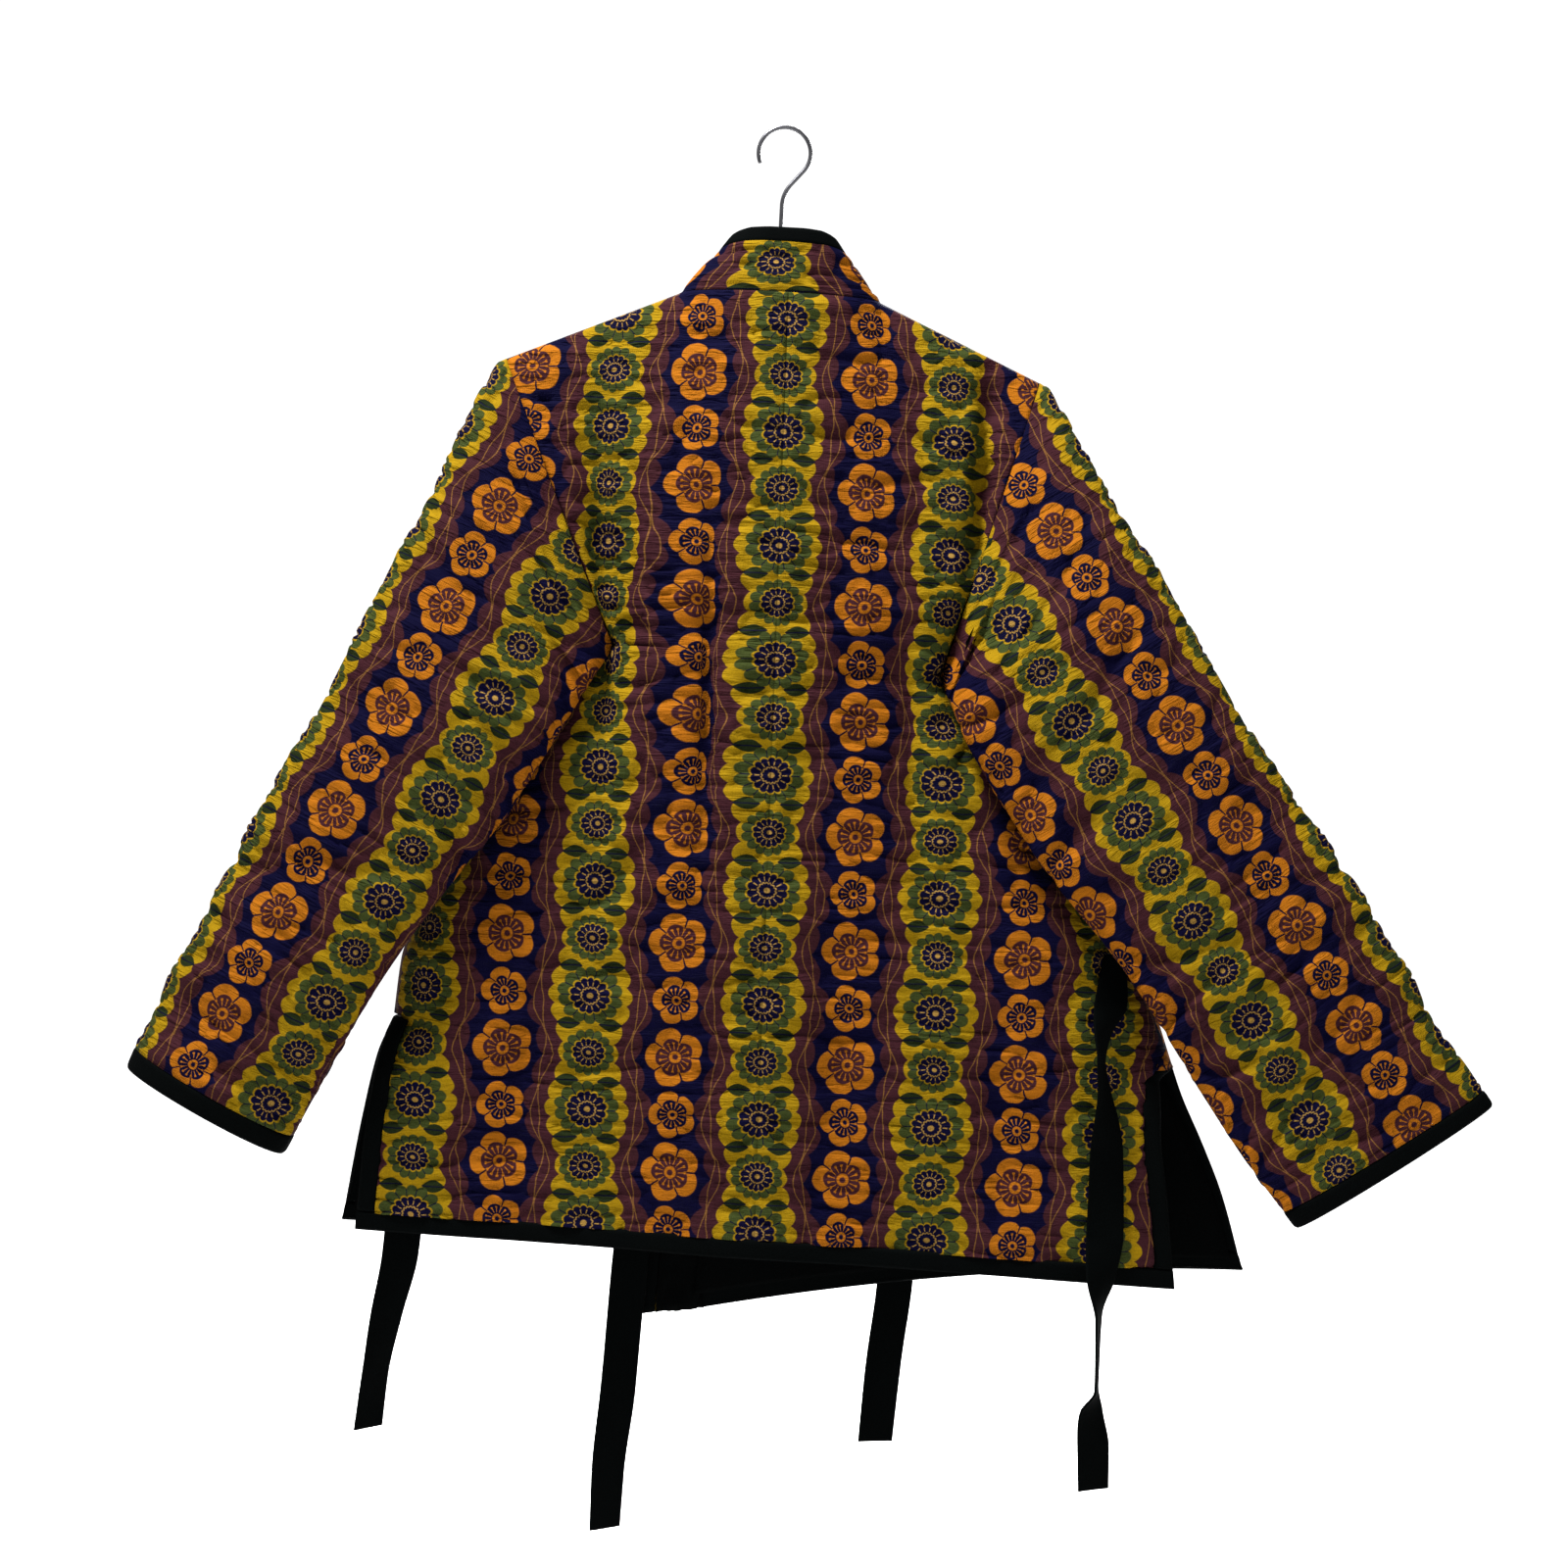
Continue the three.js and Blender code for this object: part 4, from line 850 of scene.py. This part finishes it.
# Shorter creases, only in the cloth's surface, with the turn of each as it goes round
SLEEVE_CREASES = {
    "left": [
        (0.09, 1.5, 0.014, 0.7, 4.5, 0.03), (0.15, 1.9, 0.012, 0.6, 3.9, -0.04),
        (0.27, 2.5, 0.012, 0.5, 6.7, 0.05), (0.29, 0.8, 0.012, 0.5, 3.6, 0.02),
        (0.38, 1.9, 0.013, 0.6, 3.9, -0.03), (0.45, 2.5, 0.01, 0.5, 6.3, 0.04),
        (0.52, 1.3, 0.012, 0.7, 3.6, 0.03), (0.55, 2.6, 0.01, 0.44, 6.3, 0.02),
        (0.64, 1.6, 0.012, 0.6, 4.2, -0.05), (0.66, 2.6, 0.009, 0.44, 5.5, 0.02),
        (0.77, 1.9, 0.012, 0.6, 3.9, 0.04), (0.82, 0.7, 0.012, 0.5, 3.9, -0.03),
        (0.93, 1.7, 0.012, 0.7, 3.3, 0.02), (0.3, 4.2, 0.013, 0.6, 3.9, 0.03),
        (0.5, 4.8, 0.013, 0.7, 4.5, -0.03), (0.66, 4.2, 0.012, 0.5, 3.9, 0.04),
        (0.8, 4.9, 0.012, 0.6, 3.6, 0.02),
    ],
    "right": [
        (0.07, 1.7, 0.014, 0.7, 4.5, -0.03), (0.13, 2.4, 0.012, 0.62, 6.3, 0.05),
        (0.22, 1.7, 0.012, 0.6, 4.2, 0.03), (0.3, 2.5, 0.011, 0.5, 6.3, -0.03),
        (0.35, 1.3, 0.012, 0.6, 3.6, 0.05), (0.46, 2.4, 0.011, 0.62, 6.3, 0.03),
        (0.6, 2.2, 0.011, 0.62, 6.3, -0.05), (0.66, 2.5, 0.009, 0.5, 7.1, 0.03),
        (0.69, 1.3, 0.012, 0.6, 3.6, 0.04), (0.76, 2.5, 0.009, 0.5, 7.1, -0.03),
        (0.79, 1.6, 0.011, 0.6, 3.9, 0.03), (0.87, 2.4, 0.009, 0.5, 6.3, 0.04),
        (0.92, 1.6, 0.012, 0.7, 3.3, -0.02), (0.3, 4.6, 0.013, 0.6, 3.9, 0.03),
        (0.45, 4.2, 0.012, 0.5, 3.9, -0.03), (0.64, 4.8, 0.013, 0.7, 4.5, 0.03),
        (0.82, 4.4, 0.012, 0.6, 3.6, 0.02),
    ],
}
SLEEVE_LONG = 610
CUFF_BAND = 19


def sleeve_point(side, at, angle, folds=True):
    """A point of a sleeve: along it, and round it from the top, by the back where the angle is over 0."""
    up_x, up_z, low_x, low_z, middle_y, flat = (
        reading(SLEEVE[side], COLUMNS_SLEEVE, "at", column, at) for column in COLUMNS_SLEEVE[1:]
    )
    half = np.hypot(up_x - low_x, up_z - low_z) / 2
    along_x, along_z = (up_x - low_x) / 2 / half, (up_z - low_z) / 2 / half
    sine, cosine = np.sin(angle), np.cos(angle)
    turn = angle % (2 * math.pi)
    sunk = 0 * at * angle
    if folds:
        for fold_at, fold_round, along, spread, deep in SLEEVE_FOLDS[side]:
            sunk = sunk + deep * near(at - fold_at, along) * near(turn - fold_round, spread)
        for crease_at, crease_round, along, spread, deep, slant in SLEEVE_CREASES[side]:
            away = at - crease_at - slant * (turn - crease_round)
            sunk = sunk + deep * near(away, along) * near(turn - crease_round, spread)
    facing = np.hypot(cosine / half, sine / flat)
    reach = half * cosine - sunk * cosine / half / facing
    out = flat * np.sign(sine) * np.abs(sine) ** SQUARENESS - sunk * sine / flat / facing
    x = (up_x + low_x) / 2 + along_x * reach
    z = (up_z + low_z) / 2 + along_z * reach
    return np.stack([x, middle_y - out, z], axis=-1)


def sleeve_print(side, points):
    """Where the print lies on a sleeve: its bands run down along the upper edge, on both faces."""
    middle = points.shape[1] // 2
    top = points[:, middle]
    run = top[-1] - top[0]
    run = run / math.hypot(run[0], run[2])
    off = points @ np.array([-run[2], 0, run[0]])
    below = (points - top[0]) @ run
    step = np.hypot(np.diff(off, axis=1), np.diff(points[..., 1], axis=1))
    round_it = walked(step)
    round_it = round_it - round_it[:, middle : middle + 1]
    return round_it - (off[:, middle] - off[0, middle])[:, None] * OUTWARD[side], -below


def sleeve(side):
    cuff = 1 - CUFF_BAND / SLEEVE_LONG
    at = np.linspace(0, cuff, 260)[:, None]
    angle = np.linspace(-math.pi, math.pi, 129)[None, :]
    smooth = sleeve_point(side, at, angle, folds=False)
    points = sleeve_point(side, at, angle)
    u, v = sleeve_print(side, smooth)
    ends = np.minimum(at, cuff - at) * SLEEVE_LONG
    under = np.minimum(angle + math.pi, math.pi - angle) * 60
    seam = near(ends, 5) + near(under, 5)
    raised = mix(-0.6, SEAM_RAISE + 0.4, np.exp(-ends / 25))
    height = (raised + puckers(u, v)) * (1 - np.minimum(seam, 1))
    spread = np.linalg.norm(np.gradient(points, axis=0), axis=-1)
    points = points + normals_of(points, OUTWARD[side]) * (height * ease(spread / 1.8))[..., None]
    points[:, -1] = points[:, 0]
    piece = cloth_piece(f"sleeve_{side}_cloth", f"sleeve_{side}", points, np.stack([u, v], axis=-1),
                        OUTWARD[side], PRINTED, joined=True)
    return piece


def cuff(side):
    start = 1 - (CUFF_BAND - 0.3) / SLEEVE_LONG
    across = down(0, 1, 10, 129)
    angle = np.linspace(-math.pi, math.pi, 129)[None, :]
    points = sleeve_point(side, mix(start, 1, across), angle)
    points = rolled(points, OUTWARD[side], across, 1.2)
    points[:, -1] = points[:, 0]
    uv = np.stack([angle * 50 + 0 * across, across * CUFF_BAND], axis=-1)
    piece = cloth_piece(f"cuff_{side}_binding", f"cuff_band_{side}", points, uv, OUTWARD[side],
                        (binding_cloth,), joined=True, wall=BOUND)
    return piece


sleeves = {side: sleeve(side) for side in OUTWARD}
for side in OUTWARD:
    cuff(side)


# Collar
# A band of the print, 50 mm wide and padded, sewn up one front, round the neck and down the other front,
# with its free edge in a narrow black trim. It stands up behind the neck.
COLLAR_WIDTH = 50
COLLAR_TRIM = 11
COLLAR_SEAM = 0.5
COLUMNS_NECK = ("x", "edge_x", "edge_y", "edge_z")
NECK_ROWS = [
    (-62, -36, -13, -83), (-38, -21, -20, -80), (-10, -5, -23, -79.5),
    (20, 15, -23, -79.5), (47, 30, -20, -80), (69, 43, -13, -83),
]


def collar_points(w):
    """Rows from the hem of the left front, up and round the neck, to the hem of the right one."""
    v = np.concatenate([np.linspace(3, 2, 40)[:-1], np.linspace(2, 1, 90)[:-1], np.linspace(1, 0, 90)])
    parts = {}
    for side in OUTWARD:
        line = FRONT_LINE[side]
        line_z = row_z(side, v, line[-1][0])[:, None]
        tilt, lift, line_x = (reading(line, COLUMNS_LINE, "z", c, line_z) for c in ("tilt", "lift", "x"))
        inward = -OUTWARD[side]
        x = line_x + inward * np.cos(np.radians(tilt)) * w
        z = line_z + np.sin(np.radians(tilt)) * w
        y = front_y(side, x, z, v[:, None]) + lift * w / COLLAR_WIDTH
        parts[side] = np.stack([x, y, z], axis=-1)
        to_neck = (NECK[side] + 2 * inward - centre_x(NECK_Z)) / (SHOULDER[side]["x"] - centre_x(NECK_Z))
        u = np.linspace(to_neck, 0, 34)
        foot = back_point(side, u, 0 * u) + np.array([0, 0, COLLAR_SEAM])
        tip = [reading(NECK_ROWS, COLUMNS_NECK, "x", c, foot[:, 0]) for c in COLUMNS_NECK[1:]]
        tip = np.stack(tip, axis=-1)
        share = ((w - COLLAR_SEAM) / (COLLAR_WIDTH - COLLAR_SEAM))[..., None]
        parts[side + "_neck"] = mix(foot[:, None], tip[:, None], share)
    order = [parts["left"], parts["left_neck"], parts["right_neck"][::-1][1:], parts["right"][::-1]]
    points = np.concatenate(order)
    for corner in (len(v), len(points) - len(v)):
        rows = np.arange(corner - 12, corner + 12)
        loose = np.linspace(0.15, 1, points.shape[1])[None, :, None]
        for _ in range(30):
            even = (points[rows - 1] + 2 * points[rows] + points[rows + 1]) / 4
            points[rows] = mix(points[rows], even, loose)
    return points


def collar():
    w = np.linspace(COLLAR_SEAM, COLLAR_WIDTH, 34)[None, :]
    points = collar_points(w)
    cut = int(round((COLLAR_WIDTH - COLLAR_TRIM) / COLLAR_WIDTH * 33))
    length = np.cumsum(np.concatenate([[0], np.linalg.norm(np.diff(points[:, cut], axis=0), axis=-1)]))
    middle = len(points) // 2
    length = length - length[middle]
    across = (w - COLLAR_SEAM) * np.ones((len(points), 1))
    place = length[:, None] + 0 * across + centre_x(NECK_Z)
    n = normals_of(points, -1)
    band = slice(0, cut + 1)
    to_edge = np.minimum(across, COLLAR_WIDTH - COLLAR_TRIM - across)
    height = (SEAM_RAISE + puckers(place, across + 7)) * (1 - near(to_edge, 4))
    puffed = points + n * height[..., None]
    uv = np.stack([place, across + NECK_Z], axis=-1)
    piece = cloth_piece("collar_cloth", "collar", puffed[:, band], uv[:, band], -1, PRINTED)
    tucked = slice(cut - 1, None)
    edge = points[:, tucked]
    share = down(0, 1, edge.shape[1], len(edge)).T
    round_it = np.sqrt(np.clip(1 - (2 * share - 1) ** 4, 0, 1))
    edge = edge + n[:, tucked] * (1.0 * round_it - 0.4)[..., None]
    trim = cloth_piece("collar_binding", "collar_trim", edge, uv[:, tucked], -1, (binding_cloth,),
                       wall=BOUND)


collar()


# Ties
# Four flat black cotton tapes, 28 mm wide and doubled over, sewn on at the waist: one on each front's edge,
# one inside, and one outside by the right side seam. They hang loose and turn as they fall.
TIE_WIDTH = 28
TAPE = 2.0
COLUMNS_TIE = ("z", "x", "y", "shows")
TIES = {
    "tie_inner_left": [
        (-612, -229, 21.8, 27.4), (-640, -231, 17, 28), (-700, -235, 9, 28), (-800, -246, 2, 28),
        (-875, -249.5, 1, 27), (-925, -258, 3, 22), (-970, -264, 4, 17), (-1010, -267, 3, 18),
    ],
    "tie_right_front": [
        (-672, -48, 31.2, 28), (-700, -52, 27.5, 28), (-800, -69, 20, 27), (-875, -74.5, 16, 27),
        (-975, -78.5, 15, 27), (-1040, -82.5, 13, 24), (-1080, -82.5, 12, 22),
    ],
    "tie_left_front": [
        (-604, 114, 50.5, 28), (-680, 123, 50, 28), (-780, 129.5, 48, 28), (-875, 132, 46, 28),
        (-950, 126, 44, 28), (-1010, 123, 43, 27),
    ],
    "tie_outer_right": [
        (-616, 284, -12, 19.5), (-630, 282, -22, 22), (-655, 279.5, -32, 26), (-677, 274, -43.5, 14),
        (-696, 273.5, -47.5, 8), (-716, 276.5, -47, 11), (-740, 279.5, -46, 20), (-765, 281, -42, 26),
        (-830, 283, -39, 28), (-858, 282, -43, 23), (-888, 282, -43, 7), (-940, 283, -42, 5),
        (-958, 280, -40, 19), (-985, 283, -38, 25), (-1018, 285, -37, 24),
    ],
}


def bevelled(piece, width):
    bevel = piece.modifiers.new("bevel", "BEVEL")
    bevel.width = width
    bevel.segments = 2
    bevel.limit_method = "ANGLE"
    bevel.angle_limit = math.radians(60)
    bpy.ops.object.modifier_apply(modifier="bevel")


def tie(name, rows):
    z = np.linspace(rows[0][0], rows[-1][0], 150)[:, None]
    x, y, shows = (reading(rows, COLUMNS_TIE, "z", c, z) for c in COLUMNS_TIE[1:])
    share = np.linspace(-0.5, 0.5, 13)[None, :]
    shown = np.minimum(1, shows / TIE_WIDTH)
    turned = np.sqrt(1 - shown**2)
    cupped = 0.5 * np.sin(z / 26) * (1 - (2 * share) ** 2)
    wide = TIE_WIDTH * share
    sideways = x + shown * wide + turned * cupped
    outward = y + turned * wide - shown * cupped - TAPE / 2
    points = np.stack([sideways, outward, z + 0 * wide], axis=-1)
    uv = np.stack([wide + 0 * z, z + 0 * wide], axis=-1)
    piece = cloth_piece(f"{name}_tape", name, points, uv, -1, (tape_cloth,), wall=TAPE)
    bevelled(piece, 0.0006)


tape_cloth = dark_cloth("black_tape", seen(4, 6, 6), 1100.0, 0.0003)
SEWN_TO = (fronts["left"], fronts["right"], fronts["left"], backs["right"])
for (name, rows), sewn_to in zip(TIES.items(), SEWN_TO):
    tie(name, rows)


# Hanger
# A flat bar of pale hardwood, waxed, with a bent steel wire hook screwed into its hump.
def pale_wood():
    wood, tree = new_material("waxed_hardwood")
    place = make(tree, "ShaderNodeTexCoord", output=3)
    long = make(tree, "ShaderNodeMapping", {}, {"Vector": place, "Scale": (6.0, 60.0, 60.0)})
    rings = noise(tree, long, 2.2, 4.0, Distortion=0.6)
    pores = noise(tree, long, 14.0, 2.0)
    colour = painted(tree, seen(196, 150, 98), seen(150, 102, 58), rings)
    colour = painted(tree, colour, seen(112, 72, 40), pores.under(0.4, 0.1) * 0.5)
    finished(tree, colour, rings + pores, 0.3, 0.0004, {"Roughness": 0.45})
    return wood


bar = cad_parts["hanger_bar"]
bar.data.materials.clear()
bar.data.materials.append(pale_wood())


def drawn_steel():
    steel, tree = new_material("drawn_steel_wire")
    place = make(tree, "ShaderNodeTexCoord", output=3)
    fine = noise(tree, place, 1400.0, 2.0)
    slow = noise(tree, place, 90.0, 2.0)
    colour = painted(tree, (0.025, 0.025, 0.028, 1), (0.06, 0.06, 0.064, 1), slow)
    finished(tree, colour, fine, 0.2, 0.0001, {"Metallic": 1.0})
    tree.links.new((fine * 0.2 + 0.22).socket, tree.nodes["Principled BSDF"].inputs["Roughness"])
    return steel


# The wire's middle line: straight up out of the hump, a bend aside, a slope, and the open circle
WIRE = 1.6
STEM_FOOT = -75.7
STEM_TOP = -58.5
BEND = {"radius": 25, "degrees": 40}
SLOPE_LONG = 14.6
CIRCLE = {"radius": 20, "middle": -18.4, "degrees": 245}


def hook():
    bpy.ops.mesh.primitive_circle_add(
        vertices=20, radius=WIRE * MM, fill_type="NGON", location=(0, 0, STEM_FOOT * MM)
    )
    piece = bpy.context.object
    piece.name = "hook_wire"
    bpy.ops.object.transform_apply(location=True)
    bpy.ops.object.mode_set(mode="EDIT")
    bpy.ops.mesh.select_all(action="SELECT")
    bpy.ops.mesh.extrude_region_move(TRANSFORM_OT_translate={"value": (0, 0, (STEM_TOP - STEM_FOOT) * MM)})
    bpy.ops.mesh.spin(steps=8, angle=math.radians(BEND["degrees"]), axis=(0, -1, 0),
                      center=(BEND["radius"] * MM, 0, STEM_TOP * MM))
    heading = math.radians(90 - BEND["degrees"])
    run = (math.cos(heading) * SLOPE_LONG * MM, 0, math.sin(heading) * SLOPE_LONG * MM)
    bpy.ops.mesh.extrude_region_move(TRANSFORM_OT_translate={"value": run})
    bpy.ops.mesh.spin(steps=48, angle=math.radians(CIRCLE["degrees"]), axis=(0, 1, 0),
                      center=(0, 0, CIRCLE["middle"] * MM))
    bpy.ops.mesh.select_all(action="SELECT")
    bpy.ops.mesh.normals_make_consistent(inside=False)
    bpy.ops.object.mode_set(mode="OBJECT")
    bpy.ops.object.shade_smooth_by_angle(angle=math.radians(50))
    bevelled(piece, 0.0004)
    piece.data.materials.append(drawn_steel())
    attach(piece, "root")
    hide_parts("hanger_hook")


hook()
